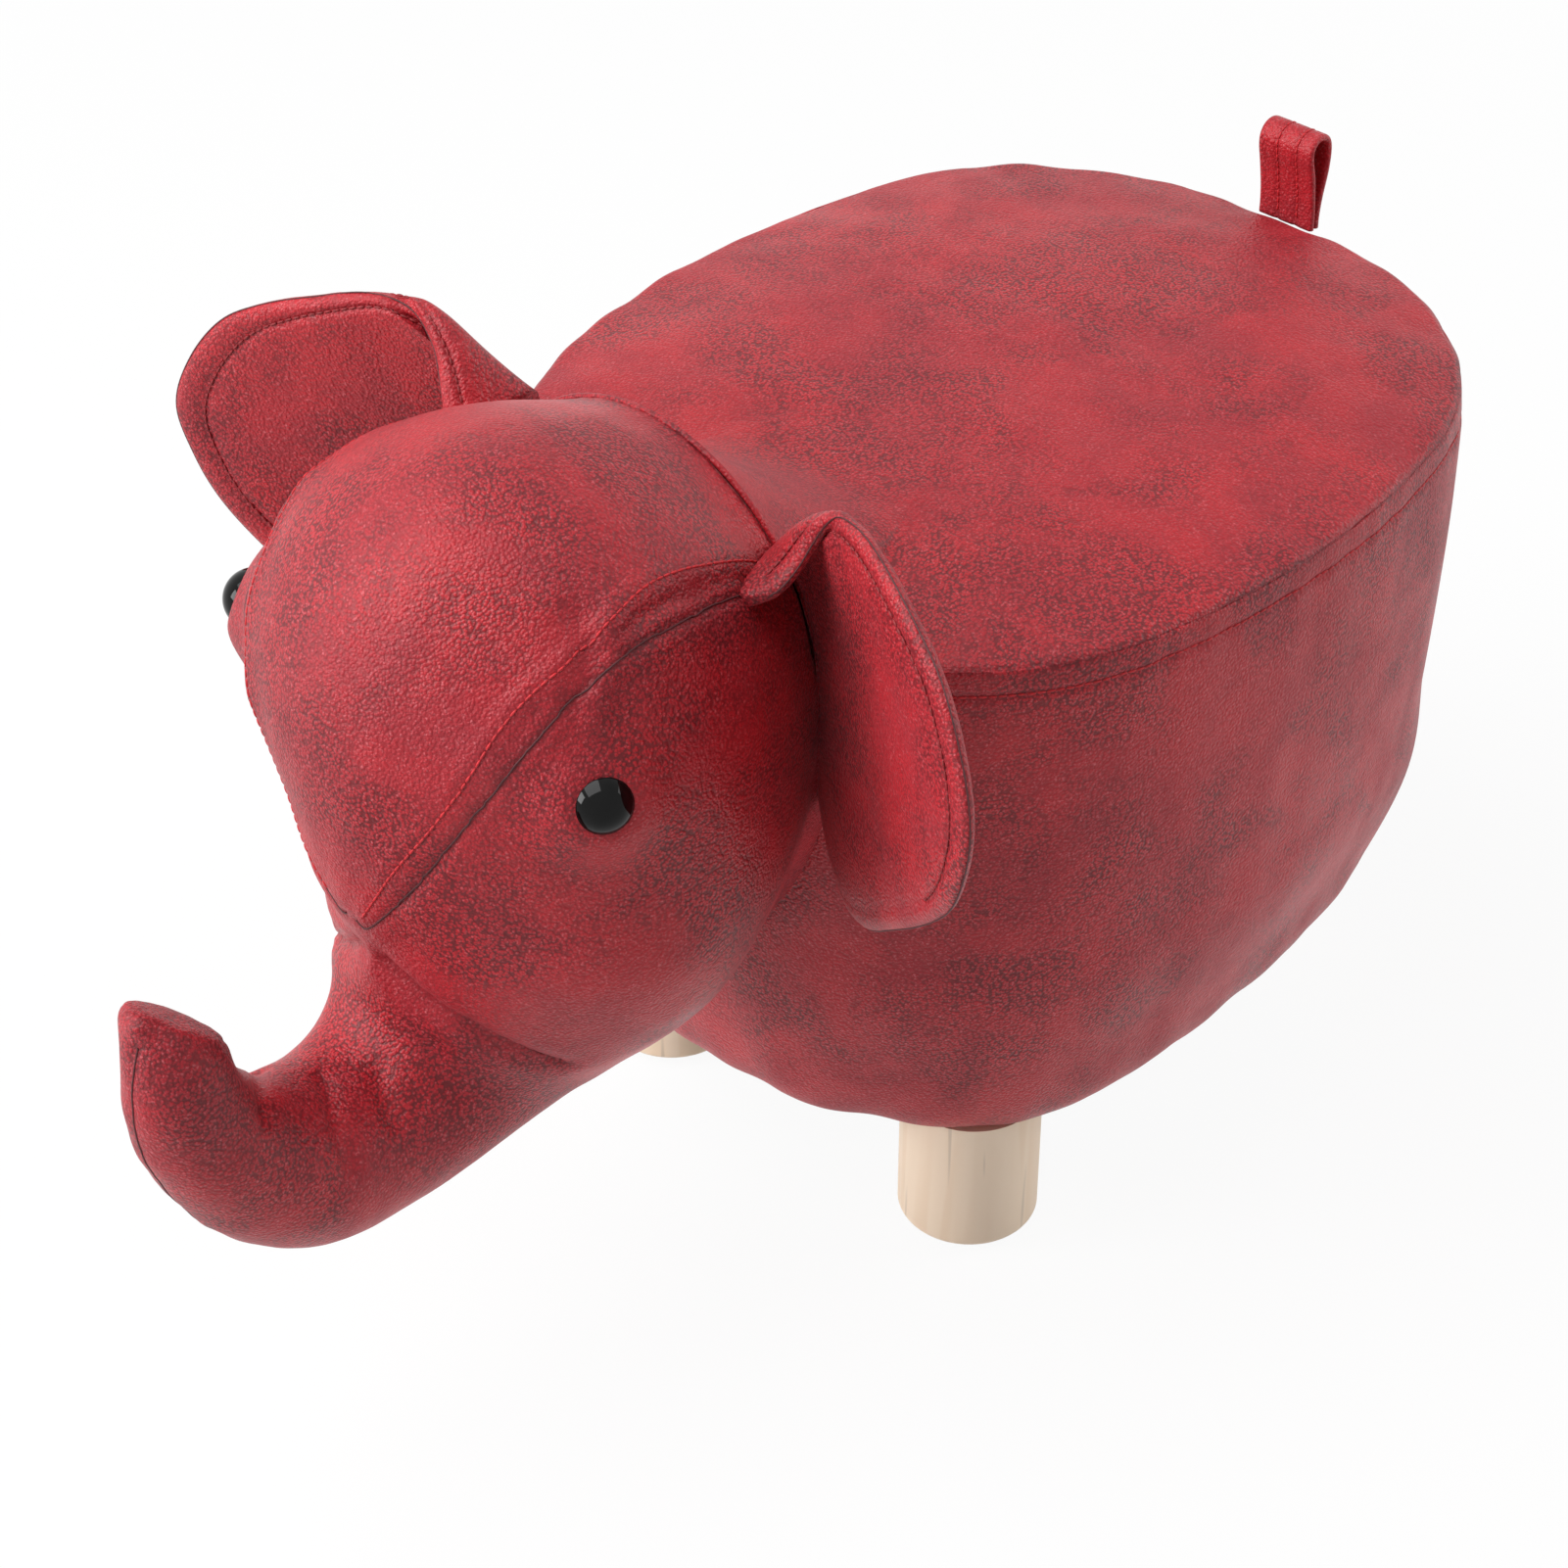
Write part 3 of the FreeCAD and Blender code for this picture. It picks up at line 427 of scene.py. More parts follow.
@dataclass
class PhotoCamera:
    """Camera at the photograph's place, worked out from the legs, the seat and the paired features."""

    focal_pixels: float = 3787.57
    image_pixels: float = 1601.0
    azimuth: float = 42.58
    elevation: float = 37.47
    distance: float = 1375.3
    aim: tuple[float, float, float] = (-32.04, 35.94, 132.64)
    sensor_mm: float = 36.0

    def axes(self) -> tuple[np.ndarray, np.ndarray, np.ndarray]:
        """Return the camera's right, up and backward directions.

        Returns:
            Three unit directions.
        """
        turn = math.radians(self.azimuth)
        rise = math.radians(self.elevation)
        back = np.array([math.sin(turn) * math.cos(rise), -math.cos(turn) * math.cos(rise), math.sin(rise)])
        right = np.array([math.cos(turn), math.sin(turn), 0.0])
        return right, np.cross(back, right), back

    def place(self) -> np.ndarray:
        """Return the camera's place in millimetres."""
        return np.array(self.aim) + self.axes()[2] * self.distance

    def project_onto(self, tree: BVHTree, spots: list[tuple[float, float]]) -> np.ndarray:
        """Find where lines of sight meet a surface.

        Args:
            tree: Search tree of the surface.
            spots: Places across and down the picture.

        Returns:
            The points met, in millimetres; a line of sight that misses is left out.
        """
        right, up, back = self.axes()
        start = Vector(self.place() * MM)
        middle = self.image_pixels / 2
        rows = []
        for across, down in spots:
            aside = right * (across - middle) + up * (middle - down)
            ray = aside / self.focal_pixels - back
            place, _, _, _ = tree.ray_cast(start, Vector(ray).normalized())
            if place is not None:
                rows.append(np.array(place) / MM)
        return np.array(rows)

    def build(self) -> None:
        """Add the camera to the scene and look through it."""
        data = bpy.data.cameras.new("photo_camera")
        data.sensor_width = self.sensor_mm
        data.lens = self.sensor_mm * self.focal_pixels / self.image_pixels
        data.clip_end = 50.0
        camera = bpy.data.objects.new("photo_camera", data)
        right, up, back = self.axes()
        turn = Matrix((right, up, back)).transposed().to_4x4()
        camera.matrix_world = Matrix.Translation(Vector(self.place() * MM)) @ turn
        bpy.context.scene.collection.objects.link(camera)
        bpy.context.scene.camera = camera


class NodeMaker:
    """Short way to add and join nodes in one tree."""

    def __init__(self, tree: bpy.types.NodeTree) -> None:
        """Keep the tree that nodes are added to."""
        self.tree = tree

    def add(self, kind: str, inputs: dict | None = None, **settings: object) -> bpy.types.Node:
        """Add a node.

        Args:
            kind: Blender's name for the node.
            inputs: Values or output sockets for its named or numbered inputs.
            settings: Values of its properties.

        Returns:
            The new node.
        """
        node = self.tree.nodes.new(kind)
        for name, value in settings.items():
            setattr(node, name, value)
        for name, value in (inputs or {}).items():
            if isinstance(value, bpy.types.NodeSocket):
                self.tree.links.new(value, node.inputs[name])
            else:
                node.inputs[name].default_value = value
        return node

    def math(self, operation: str, first: object, second: object = 0.0) -> bpy.types.NodeSocket:
        """Add a sum of two numbers or sockets and return its output."""
        return self.add("ShaderNodeMath", {0: first, 1: second}, operation=operation).outputs[0]

    def band(self, value: bpy.types.NodeSocket, low: float, high: float) -> bpy.types.NodeSocket:
        """Add a smooth step of a value between two levels and return its output."""
        inputs = {"Value": value, "From Min": low, "From Max": high}
        return self.add("ShaderNodeMapRange", inputs, interpolation_type="SMOOTHSTEP").outputs["Result"]

    def mix(self, share: object, first: object, second: object) -> bpy.types.NodeSocket:
        """Add a mix of two colours and return its output."""
        node = self.add("ShaderNodeMix", {0: share, 6: first, 7: second}, data_type="RGBA")
        return node.outputs[2]

    def noise(self, vector: bpy.types.NodeSocket, scale: object, detail: float, roughness: float,
              distortion: float = 0.0) -> bpy.types.NodeSocket:
        """Add a noise texture and return its value output."""
        inputs = {"Vector": vector, "Scale": scale, "Detail": detail, "Roughness": roughness,
                  "Distortion": distortion}
        return self.add("ShaderNodeTexNoise", inputs).outputs[0]

    def raised(self, value: bpy.types.NodeSocket, factor: float, base: float) -> bpy.types.NodeSocket:
        """Add a value times a factor plus a base and return its output."""
        inputs = {0: value, 1: factor, 2: base}
        return self.add("ShaderNodeMath", inputs, operation="MULTIPLY_ADD").outputs[0]

    def join(self, output: bpy.types.NodeSocket, node: bpy.types.Node, label: str) -> None:
        """Join an output to a named input of a node."""
        self.tree.links.new(output, node.inputs[label])

    def relief(self, shader: bpy.types.Node, height: bpy.types.NodeSocket, strength: float,
               distance: float) -> None:
        """Give a shader fine bumps that follow a height."""
        bump = self.add("ShaderNodeBump", {"Height": height, "Strength": strength, "Distance": distance})
        self.join(bump.outputs["Normal"], shader, "Normal")


def rgba(colour: tuple[float, float, float]) -> tuple[float, float, float, float]:
    """Return a colour with full opacity."""
    return (*colour, 1.0)


def start_material(name: str) -> tuple[bpy.types.Material, NodeMaker, bpy.types.Node]:
    """Start a material.

    Args:
        name: Name of the material.

    Returns:
        The material, a node maker for its tree and its shader node.
    """
    made = bpy.data.materials.new(name)
    made.use_nodes = True
    return made, NodeMaker(made.node_tree), made.node_tree.nodes["Principled BSDF"]


def new_group(name: str, inputs: tuple[str, ...],
              outputs: tuple[str, ...]) -> tuple[NodeMaker, dict, bpy.types.Node]:
    """Start a shader node group that takes and gives numbers.

    Args:
        name: Name of the group.
        inputs: Names of its inputs.
        outputs: Names of its outputs.

    Returns:
        A node maker for the group, its input sockets by name and its output node.
    """
    tree = bpy.data.node_groups.new(name, "ShaderNodeTree")
    for label in inputs:
        tree.interface.new_socket(label, in_out="INPUT", socket_type="NodeSocketFloat")
    for label in outputs:
        tree.interface.new_socket(label, in_out="OUTPUT", socket_type="NodeSocketFloat")
    maker = NodeMaker(tree)
    entry = tree.nodes.new("NodeGroupInput")
    leave = tree.nodes.new("NodeGroupOutput")
    return maker, {label: entry.outputs[label] for label in inputs}, leave


class WornGrain:
    """Node group of a brushed, worn cover: large patches, fine specks, painted highlight glints and a surface
    height.
    """

    _tree: bpy.types.NodeTree | None = None

    @classmethod
    def tree(cls) -> bpy.types.NodeTree:
        """Return the group's tree, built at its first use."""
        if cls._tree is None:
            cls._tree = cls._build()
        return cls._tree

    @staticmethod
    def _build() -> bpy.types.NodeTree:
        """Build the group's nodes.

        Returns:
            The finished tree.
        """
        inputs = ("Patch Scale", "Grain Scale", "Speck Share")
        maker, given, leave = new_group("worn_grain", inputs, ("Patch", "Speck", "Glint", "Height"))
        place = maker.add("ShaderNodeTexCoord").outputs["Object"]
        coarse = maker.noise(place, given["Patch Scale"], 5.0, 0.62, 0.7)
        small_scale = maker.math("MULTIPLY", given["Patch Scale"], 4.3)
        small = maker.noise(place, small_scale, 3.0, 0.6)
        blended = maker.math("ADD", maker.math("MULTIPLY", coarse, 0.65), maker.math("MULTIPLY", small, 0.35))
        patch = maker.band(blended, 0.36, 0.66)
        stray = maker.add("ShaderNodeTexNoise",
                          {"Vector": place, "Scale": given["Grain Scale"], "Detail": 1.0})
        shift = maker.add("ShaderNodeVectorMath", {0: stray.outputs["Color"], 1: (0.0007, 0.0007, 0.0007)},
                          operation="MULTIPLY").outputs[0]
        bent = maker.add("ShaderNodeVectorMath", {0: place, 1: shift}, operation="ADD").outputs[0]
        cells = {"Vector": bent, "Scale": given["Grain Scale"], "Randomness": 1.0}
        pebble = maker.add("ShaderNodeTexVoronoi", cells, feature="F1").outputs["Distance"]
        valley = maker.band(pebble, 0.34, 0.68)
        region = maker.band(maker.noise(place, 19.0, 3.0, 0.6, 0.4), 0.36, 0.62)
        patchy = maker.math("ADD", maker.math("MULTIPLY", region, 0.75), 0.25)
        share = maker.math("MULTIPLY", patchy, given["Speck Share"])
        speck = maker.math("MULTIPLY", valley, share)
        fine = maker.noise(place, 1500.0, 2.0, 0.6)
        # Painted highlight: pale glints on the pebble tops stand in for light sparkling on the grain
        glint_tops = maker.band(maker.noise(place, 980.0, 1.0, 0.5), 0.56, 0.70)
        glint = maker.math("MULTIPLY", glint_tops, maker.math("SUBTRACT", 1.0, valley))
        height = maker.math("SUBTRACT", maker.math("MULTIPLY", fine, 0.35), pebble)
        for label, value in (("Patch", patch), ("Speck", speck), ("Glint", glint), ("Height", height)):
            maker.join(value, leave, label)
        return maker.tree


@dataclass(frozen=True)
class CoverFinish:
    """Brushed red cover with a worn, mottled face, painted highlight glints and painted shade in its seams.
    """

    name: str = "brushed_red_cover"
    bright: tuple[float, float, float] = (0.50, 0.017, 0.026)
    dull: tuple[float, float, float] = (0.35, 0.018, 0.028)
    dark: tuple[float, float, float] = (0.080, 0.007, 0.010)
    # Colour of the painted highlight glints on the pebble tops
    tip: tuple[float, float, float] = (0.80, 0.30, 0.33)
    # Painted shade colour in seam grooves and fold creases
    seam: tuple[float, float, float] = (0.075, 0.006, 0.009)
    roughness: float = 0.36
    specular: float = 0.3
    sheen: float = 0.05
    bump: float = 0.8
    bump_depth: float = 0.00045
    # Share of the painted highlight glints
    glint: float = 0.22
    # Share of painted shade in seam grooves and fold creases
    crease: float = 0.75
    patch_scale: float = 13.0
    grain_scale: float = 880.0
    speck_share: float = 0.8

    def material(self) -> bpy.types.Material:
        """Build the material.

        Returns:
            The finished material.
        """
        made, maker, shader = start_material(self.name)
        scales = {"Patch Scale": self.patch_scale, "Grain Scale": self.grain_scale,
                  "Speck Share": self.speck_share}
        grain = maker.add("ShaderNodeGroup", scales, node_tree=WornGrain.tree())
        colour = maker.mix(grain.outputs["Patch"], rgba(self.bright), rgba(self.dull))
        # Painted highlight: pale pink glints mixed in on the pebble tops
        colour = maker.mix(maker.math("MULTIPLY", grain.outputs["Glint"], self.glint), colour, rgba(self.tip))
        colour = maker.mix(grain.outputs["Speck"], colour, rgba(self.dark))
        # Painted shade: seam grooves and fold creases darken towards the seam colour
        crease = maker.add("ShaderNodeAttribute", attribute_name="crease").outputs["Fac"]
        colour = maker.mix(maker.math("MULTIPLY", crease, self.crease), colour, rgba(self.seam))
        maker.join(colour, shader, "Base Color")
        maker.join(maker.raised(grain.outputs["Patch"], 0.14, self.roughness), shader, "Roughness")
        maker.relief(shader, grain.outputs["Height"], self.bump, self.bump_depth)
        shader.inputs["Specular IOR Level"].default_value = self.specular
        shader.inputs["Sheen Weight"].default_value = self.sheen
        shader.inputs["Sheen Roughness"].default_value = 0.45
        shader.inputs["Sheen Tint"].default_value = (0.95, 0.72, 0.75, 1.0)
        return made


@dataclass(frozen=True)
class ThreadFinish:
    """Twisted sewing thread in one colour."""

    name: str
    colour: tuple[float, float, float]
    shade: tuple[float, float, float]

    def material(self) -> bpy.types.Material:
        """Build the material.

        Returns:
            The finished material.
        """
        made, maker, shader = start_material(self.name)
        place = maker.add("ShaderNodeTexCoord").outputs["Object"]
        twist = maker.noise(place, 900.0, 2.0, 0.5)
        colour = maker.mix(maker.band(twist, 0.35, 0.65), rgba(self.colour), rgba(self.shade))
        maker.join(colour, shader, "Base Color")
        maker.relief(shader, twist, 0.3, 0.0003)
        shader.inputs["Roughness"].default_value = 0.6
        return made


@dataclass(frozen=True)
class WoodFinish:
    """Wood with grain along one axis."""

    name: str
    pale: tuple[float, float, float]
    dark: tuple[float, float, float]
    stretch: tuple[float, float, float]
    streak: float = 0.25
    roughness: float = 0.45

    def material(self) -> bpy.types.Material:
        """Build the material.

        Returns:
            The finished material.
        """
        made, maker, shader = start_material(self.name)
        place = maker.add("ShaderNodeTexCoord").outputs["Object"]
        along = maker.add("ShaderNodeMapping", {"Vector": place, "Scale": self.stretch}).outputs[0]
        rings = maker.noise(along, 1.0, 3.0, 0.55, 0.8)
        bands = maker.math("SINE", maker.math("MULTIPLY", rings, 34.0))
        ring = maker.band(bands, -0.6, 1.0)
        fine = maker.noise(along, 7.0, 3.0, 0.6)
        dash = maker.band(maker.noise(along, 11.0, 1.0, 0.4), 0.66, 0.74)
        tone = maker.math("ADD", maker.math("MULTIPLY", ring, 0.55), maker.math("MULTIPLY", fine, 0.45))
        colour = maker.mix(tone, rgba(self.pale), rgba(self.dark))
        deep = tuple(0.45 * part for part in self.dark)
        colour = maker.mix(maker.math("MULTIPLY", dash, self.streak), colour, rgba(deep))
        maker.join(colour, shader, "Base Color")
        maker.join(maker.raised(fine, 0.15, self.roughness), shader, "Roughness")
        maker.relief(shader, tone, 0.12, 0.0004)
        return made


@dataclass(frozen=True)
class PlainFinish:
    """Moulded, metal or pressed material with a fine surface."""

    name: str
    colour: tuple[float, float, float]
    shade: tuple[float, float, float]
    scale: float
    roughness: float
    metallic: float = 0.0
    bump: float = 0.1
    specular: float = 0.5

    def material(self) -> bpy.types.Material:
        """Build the material.

        Returns:
            The finished material.
        """
        made, maker, shader = start_material(self.name)
        place = maker.add("ShaderNodeTexCoord").outputs["Object"]
        grain = maker.noise(place, self.scale, 3.0, 0.55)
        colour = maker.mix(maker.band(grain, 0.35, 0.65), rgba(self.colour), rgba(self.shade))
        maker.join(colour, shader, "Base Color")
        maker.relief(shader, grain, self.bump, 0.0003)
        shader.inputs["Roughness"].default_value = self.roughness
        shader.inputs["Metallic"].default_value = self.metallic
        shader.inputs["Specular IOR Level"].default_value = self.specular
        return made


@dataclass
class Wardrobe:
    """All materials of the object, each built once."""

    cover: bpy.types.Material = field(init=False)
    thread: bpy.types.Material = field(init=False)
    ear_thread: bpy.types.Material = field(init=False)
    seam: bpy.types.Material = field(init=False)
    nodes: dict[str, bpy.types.Material] = field(init=False)

    def __post_init__(self) -> None:
        """Build every finish."""
        self.cover = CoverFinish().material()
        self.thread = ThreadFinish("red_thread", (0.60, 0.014, 0.022), (0.42, 0.010, 0.016)).material()
        deep_red = ThreadFinish("deep_red_thread", (0.26, 0.008, 0.012), (0.17, 0.006, 0.009))
        self.ear_thread = deep_red.material()
        # Dark cords along the seams are painted shadow in their grooves
        self.seam = ThreadFinish("seam_shadow", (0.080, 0.005, 0.008), (0.045, 0.003, 0.005)).material()
        pine = WoodFinish("leg_pine", (0.97, 0.81, 0.63), (0.90, 0.71, 0.52), (26.0, 26.0, 1.6), 0.35)
        sawn = WoodFinish("frame_pine", (0.60, 0.43, 0.25), (0.44, 0.29, 0.16), (24.0, 24.0, 2.0), 0.2, 0.65)
        ply = WoodFinish("plywood", (0.56, 0.40, 0.24), (0.42, 0.28, 0.16), (14.0, 2.0, 60.0), 0.2, 0.6)
        steel = PlainFinish("zinc_steel", (0.62, 0.62, 0.64), (0.48, 0.48, 0.50), 260.0, 0.35, 1.0)
        eye = PlainFinish("eye_gloss", (0.004, 0.004, 0.004), (0.002, 0.002, 0.002), 60.0, 0.05,
                          bump=0.0, specular=0.16)
        felt = PlainFinish("felt", (0.05, 0.048, 0.046), (0.025, 0.024, 0.023), 600.0, 0.95, 0.0, 0.5)
        cloth = PlainFinish("dust_cloth", (0.03, 0.03, 0.03), (0.015, 0.015, 0.015), 900.0, 0.9, 0.0, 0.4)
        board = PlainFinish("hardboard", (0.20, 0.115, 0.06), (0.14, 0.08, 0.04), 300.0, 0.6, 0.0, 0.2)
        washer = PlainFinish("washer_plastic", (0.80, 0.80, 0.78), (0.74, 0.74, 0.72), 120.0, 0.5)
        finishes = (pine, sawn, ply, steel, eye, felt, cloth, board, washer)
        made = {finish.name: finish.material() for finish in finishes}
        self.nodes = {name: made[slot] for name, slot in self.node_slots().items() if slot in made}

    @staticmethod
    def node_slots() -> dict[str, str]:
        """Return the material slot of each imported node."""
        return {part["node"]: part["material_slot"] for part in frame["record"]["subparts"]}

    def dress_nodes(self) -> None:
        """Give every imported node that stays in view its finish."""
        for name, finish in self.nodes.items():
            data = frame["nodes"][name].data
            data.materials.clear()
            data.materials.append(finish)


class PathTree:
    """Geometry Nodes trees that run along sewn lines."""

    _stitches: bpy.types.NodeTree | None = None
    _cord: bpy.types.NodeTree | None = None

    @classmethod
    def stitches(cls) -> bpy.types.NodeTree:
        """Return the tree that lays single stitches along a line.

        Returns:
            The tree, built at its first use.
        """
        if cls._stitches is None:
            tree, maker, entry, leave = cls._start("stitch_row", ("Spacing", "Length", "Thickness"))
            curve = maker.add("GeometryNodeMeshToCurve", {"Mesh": entry.outputs["Geometry"]}).outputs[0]
            places = {"Curve": curve, "Length": entry.outputs["Spacing"]}
            spots = maker.add("GeometryNodeCurveToPoints", places, mode="LENGTH")
            grain = maker.add("GeometryNodeMeshUVSphere", {"Segments": 6, "Rings": 5, "Radius": 0.5})
            shape = maker.add("ShaderNodeCombineXYZ", {"X": entry.outputs["Thickness"],
                                                       "Y": entry.outputs["Thickness"],
                                                       "Z": entry.outputs["Length"]})
            laid = maker.add("GeometryNodeInstanceOnPoints",
                             {"Points": spots.outputs["Points"], "Instance": grain.outputs["Mesh"],
                              "Rotation": spots.outputs["Rotation"], "Scale": shape.outputs[0]})
            cls._finish(maker, laid.outputs[0], entry, leave)
            cls._stitches = tree
        return cls._stitches

    @classmethod
    def cord(cls) -> bpy.types.NodeTree:
        """Return the tree that draws a thin round line along a path.

        Returns:
            The tree, built at its first use.
        """
        if cls._cord is None:
            tree, maker, entry, leave = cls._start("seam_line", ("Radius",))
            curve = maker.add("GeometryNodeMeshToCurve", {"Mesh": entry.outputs["Geometry"]}).outputs[0]
            ring = maker.add("GeometryNodeCurvePrimitiveCircle",
                             {"Resolution": 6, "Radius": entry.outputs["Radius"]}, mode="RADIUS")
            sweep = {"Curve": curve, "Profile Curve": ring.outputs["Curve"], "Fill Caps": True}
            tube = maker.add("GeometryNodeCurveToMesh", sweep)
            cls._finish(maker, tube.outputs[0], entry, leave)
            cls._cord = tree
        return cls._cord

    @staticmethod
    def _start(name: str, sizes: tuple[str, ...]) -> tuple:
        """Start a tree with named sizes and a material as inputs.

        Args:
            name: Name of the tree.
            sizes: Names of its number inputs.

        Returns:
            The tree, a node maker for it, its input node and its output node.
        """
        tree = bpy.data.node_groups.new(name, "GeometryNodeTree")
        tree.interface.new_socket("Geometry", in_out="INPUT", socket_type="NodeSocketGeometry")
        for label in sizes:
            tree.interface.new_socket(label, in_out="INPUT", socket_type="NodeSocketFloat")
        tree.interface.new_socket("Material", in_out="INPUT", socket_type="NodeSocketMaterial")
        tree.interface.new_socket("Geometry", in_out="OUTPUT", socket_type="NodeSocketGeometry")
        maker = NodeMaker(tree)
        return tree, maker, tree.nodes.new("NodeGroupInput"), tree.nodes.new("NodeGroupOutput")

    @staticmethod
    def _finish(maker: NodeMaker, made: bpy.types.NodeSocket, entry: bpy.types.Node,
                leave: bpy.types.Node) -> None:
        """End a tree by making its copies real and giving them the material.

        Args:
            maker: Node maker of the tree.
            made: Geometry so far.
            entry: Input node of the tree.
            leave: Output node of the tree.
        """
        real = maker.add("GeometryNodeRealizeInstances", {0: made}).outputs[0]
        dressed = maker.add("GeometryNodeSetMaterial",
                            {"Geometry": real, "Material": entry.outputs["Material"]})
        maker.tree.links.new(dressed.outputs[0], leave.inputs[0])


def sewn_piece(name: str, lines: list[np.ndarray], tree: bpy.types.NodeTree, material: bpy.types.Material,
               **sizes: float) -> bpy.types.Object:
    """Run a Geometry Nodes tree along lines and keep the result as a plain mesh.

    Args:
        name: Name of the piece.
        lines: Rows of points in millimetres, one array for each line.
        tree: Geometry Nodes tree to run.
        material: Material of the result.
        sizes: Values of the tree's named inputs, in metres.

    Returns:
        The finished piece.
    """
    points: list = []
    edges: list = []
    for line in lines:
        start = len(points)
        points.extend((line * MM).tolist())
        edges.extend((start + index, start + index + 1) for index in range(len(line) - 1))
    mesh = bpy.data.meshes.new(f"{name}_path")
    mesh.from_pydata(points, edges, [])
    host = bpy.data.objects.new(f"{name}_path", mesh)
    bpy.context.scene.collection.objects.link(host)
    layer = host.modifiers.new("sewing", "NODES")
    layer.node_group = tree
    for item in tree.interface.items_tree:
        label = item.name.lower()
        if item.in_out == "INPUT" and label in sizes:
            layer[item.identifier] = sizes[label]
        if item.in_out == "INPUT" and label == "material":
            layer[item.identifier] = material
    piece = baked_copy(host, name)
    if not piece.data.materials:
        piece.data.materials.append(material)
    return piece


def stitch_row(name: str, lines: list[np.ndarray], thread: bpy.types.Material) -> bpy.types.Object:
    """Sew a row of single stitches along lines."""
    return sewn_piece(name, lines, PathTree.stitches(), thread,
                      spacing=0.0032, length=0.003, thickness=0.00095)


def seam_row(name: str, lines: list[np.ndarray], wardrobe: Wardrobe,
             radius: float = 0.00032) -> bpy.types.Object:
    """Draw a dark cord along lines as the painted shadow in the groove of a closed seam."""
    return sewn_piece(name, lines, PathTree.cord(), wardrobe.seam, radius=radius)


@dataclass(frozen=True)
class SeamLook:
    """How a sewn or folded line shapes the cover, in millimetres, and how much shade is painted into it; a
    depth below 0 is a ridge.
    """

    depth: float
    width: float
    pucker: float
    pucker_reach: float
    pucker_step: float
    dark: float


class SeamKind(Enum):
    """Sewn and folded lines of the cover."""

    SEAT_EDGE = SeamLook(0.4, 2.0, 1.0, 12.0, 19.0, 0.5)
    SIDE_ROW = SeamLook(0.25, 1.4, 0.6, 8.0, 9.0, 0.25)
    HEAD_PANEL = SeamLook(1.1, 2.4, 1.4, 14.0, 17.0, 0.6)
    HEAD_ROW = SeamLook(0.4, 1.6, 0.5, 9.0, 12.0, 0.15)
    TRUNK_FOLD = SeamLook(5.2, 4.8, 0.8, 12.0, 12.0, 0.4)
    TRUNK_WRINKLE = SeamLook(2.3, 3.6, 0.0, 4.0, 9.0, 0.05)
    TRUNK_END = SeamLook(0.7, 1.5, 0.5, 5.0, 6.0, 0.22)
    TRUNK_KNOT = SeamLook(-1.8, 3.2, 0.0, 4.0, 9.0, 0.0)
    BROW_RIDGE = SeamLook(-1.4, 4.5, 0.0, 4.0, 9.0, 0.0)
    BROW_DENT = SeamLook(1.5, 5.0, 0.0, 5.0, 9.0, 0.0)
    TRUNK_MIDDLE = SeamLook(0.9, 2.0, 0.9, 11.0, 12.0, 0.5)
    EAR_ROW = SeamLook(0.35, 1.4, 0.4, 6.0, 8.0, 0.25)
    STRAP_ROW = SeamLook(0.4, 1.1, 0.2, 3.0, 4.0, 0.3)


def draw_in_seams(piece: bpy.types.Object, seams: list[tuple[np.ndarray, SeamKind]]) -> None:
    """Press seams into a piece's cover and mark them for its material, which paints shade into their grooves.

    Args:
        piece: Mesh object to change.
        seams: Lines in millimetres, each with its kind.
    """
    mesh = piece.data
    points = mesh_points(mesh)
    normals = mesh_normals(mesh)
    move = np.zeros(len(points))
    crease = np.zeros(len(points))
    for number, (path, kind) in enumerate(seams):
        seam = kind.value
        line = resample(path, 1.0)
        tree = point_tree(line)
        reach = 3.0 * max(seam.width, seam.pucker_reach)
        low = line.min(0) - reach
        high = line.max(0) + reach
        near = np.nonzero(np.all((points > low) & (points < high), axis=1))[0]
        for index in near:
            _, spot, gap = tree.find(Vector(points[index]))
            if gap > reach:
                continue
            move[index] -= seam.depth * math.exp(-(gap / seam.width) ** 2)
            # Painted shade: the crease value darkens the cover's colour in the groove
            crease[index] = max(crease[index], seam.dark * math.exp(-(gap / SEAM_SHADE_WIDTH) ** 2))
            if seam.pucker:
                ripple = noise.noise(Vector((spot / seam.pucker_step, 7.3 * number, gap / 30.0)))
                move[index] += seam.pucker * ripple * math.exp(-(gap / seam.pucker_reach) ** 2)
    set_mesh_points(mesh, points + normals * move[:, None])
    layer = mesh.attributes.get("crease") or mesh.attributes.new("crease", "FLOAT", "POINT")
    layer.data.foreach_set("value", crease.astype(np.float32))


def dress_cover(piece: bpy.types.Object, wardrobe: Wardrobe) -> None:
    """Give a soft piece the red cover.

    Args:
        piece: Mesh object to dress.
        wardrobe: Materials of the object.
    """
    piece.data.materials.clear()
    piece.data.materials.append(wardrobe.cover)


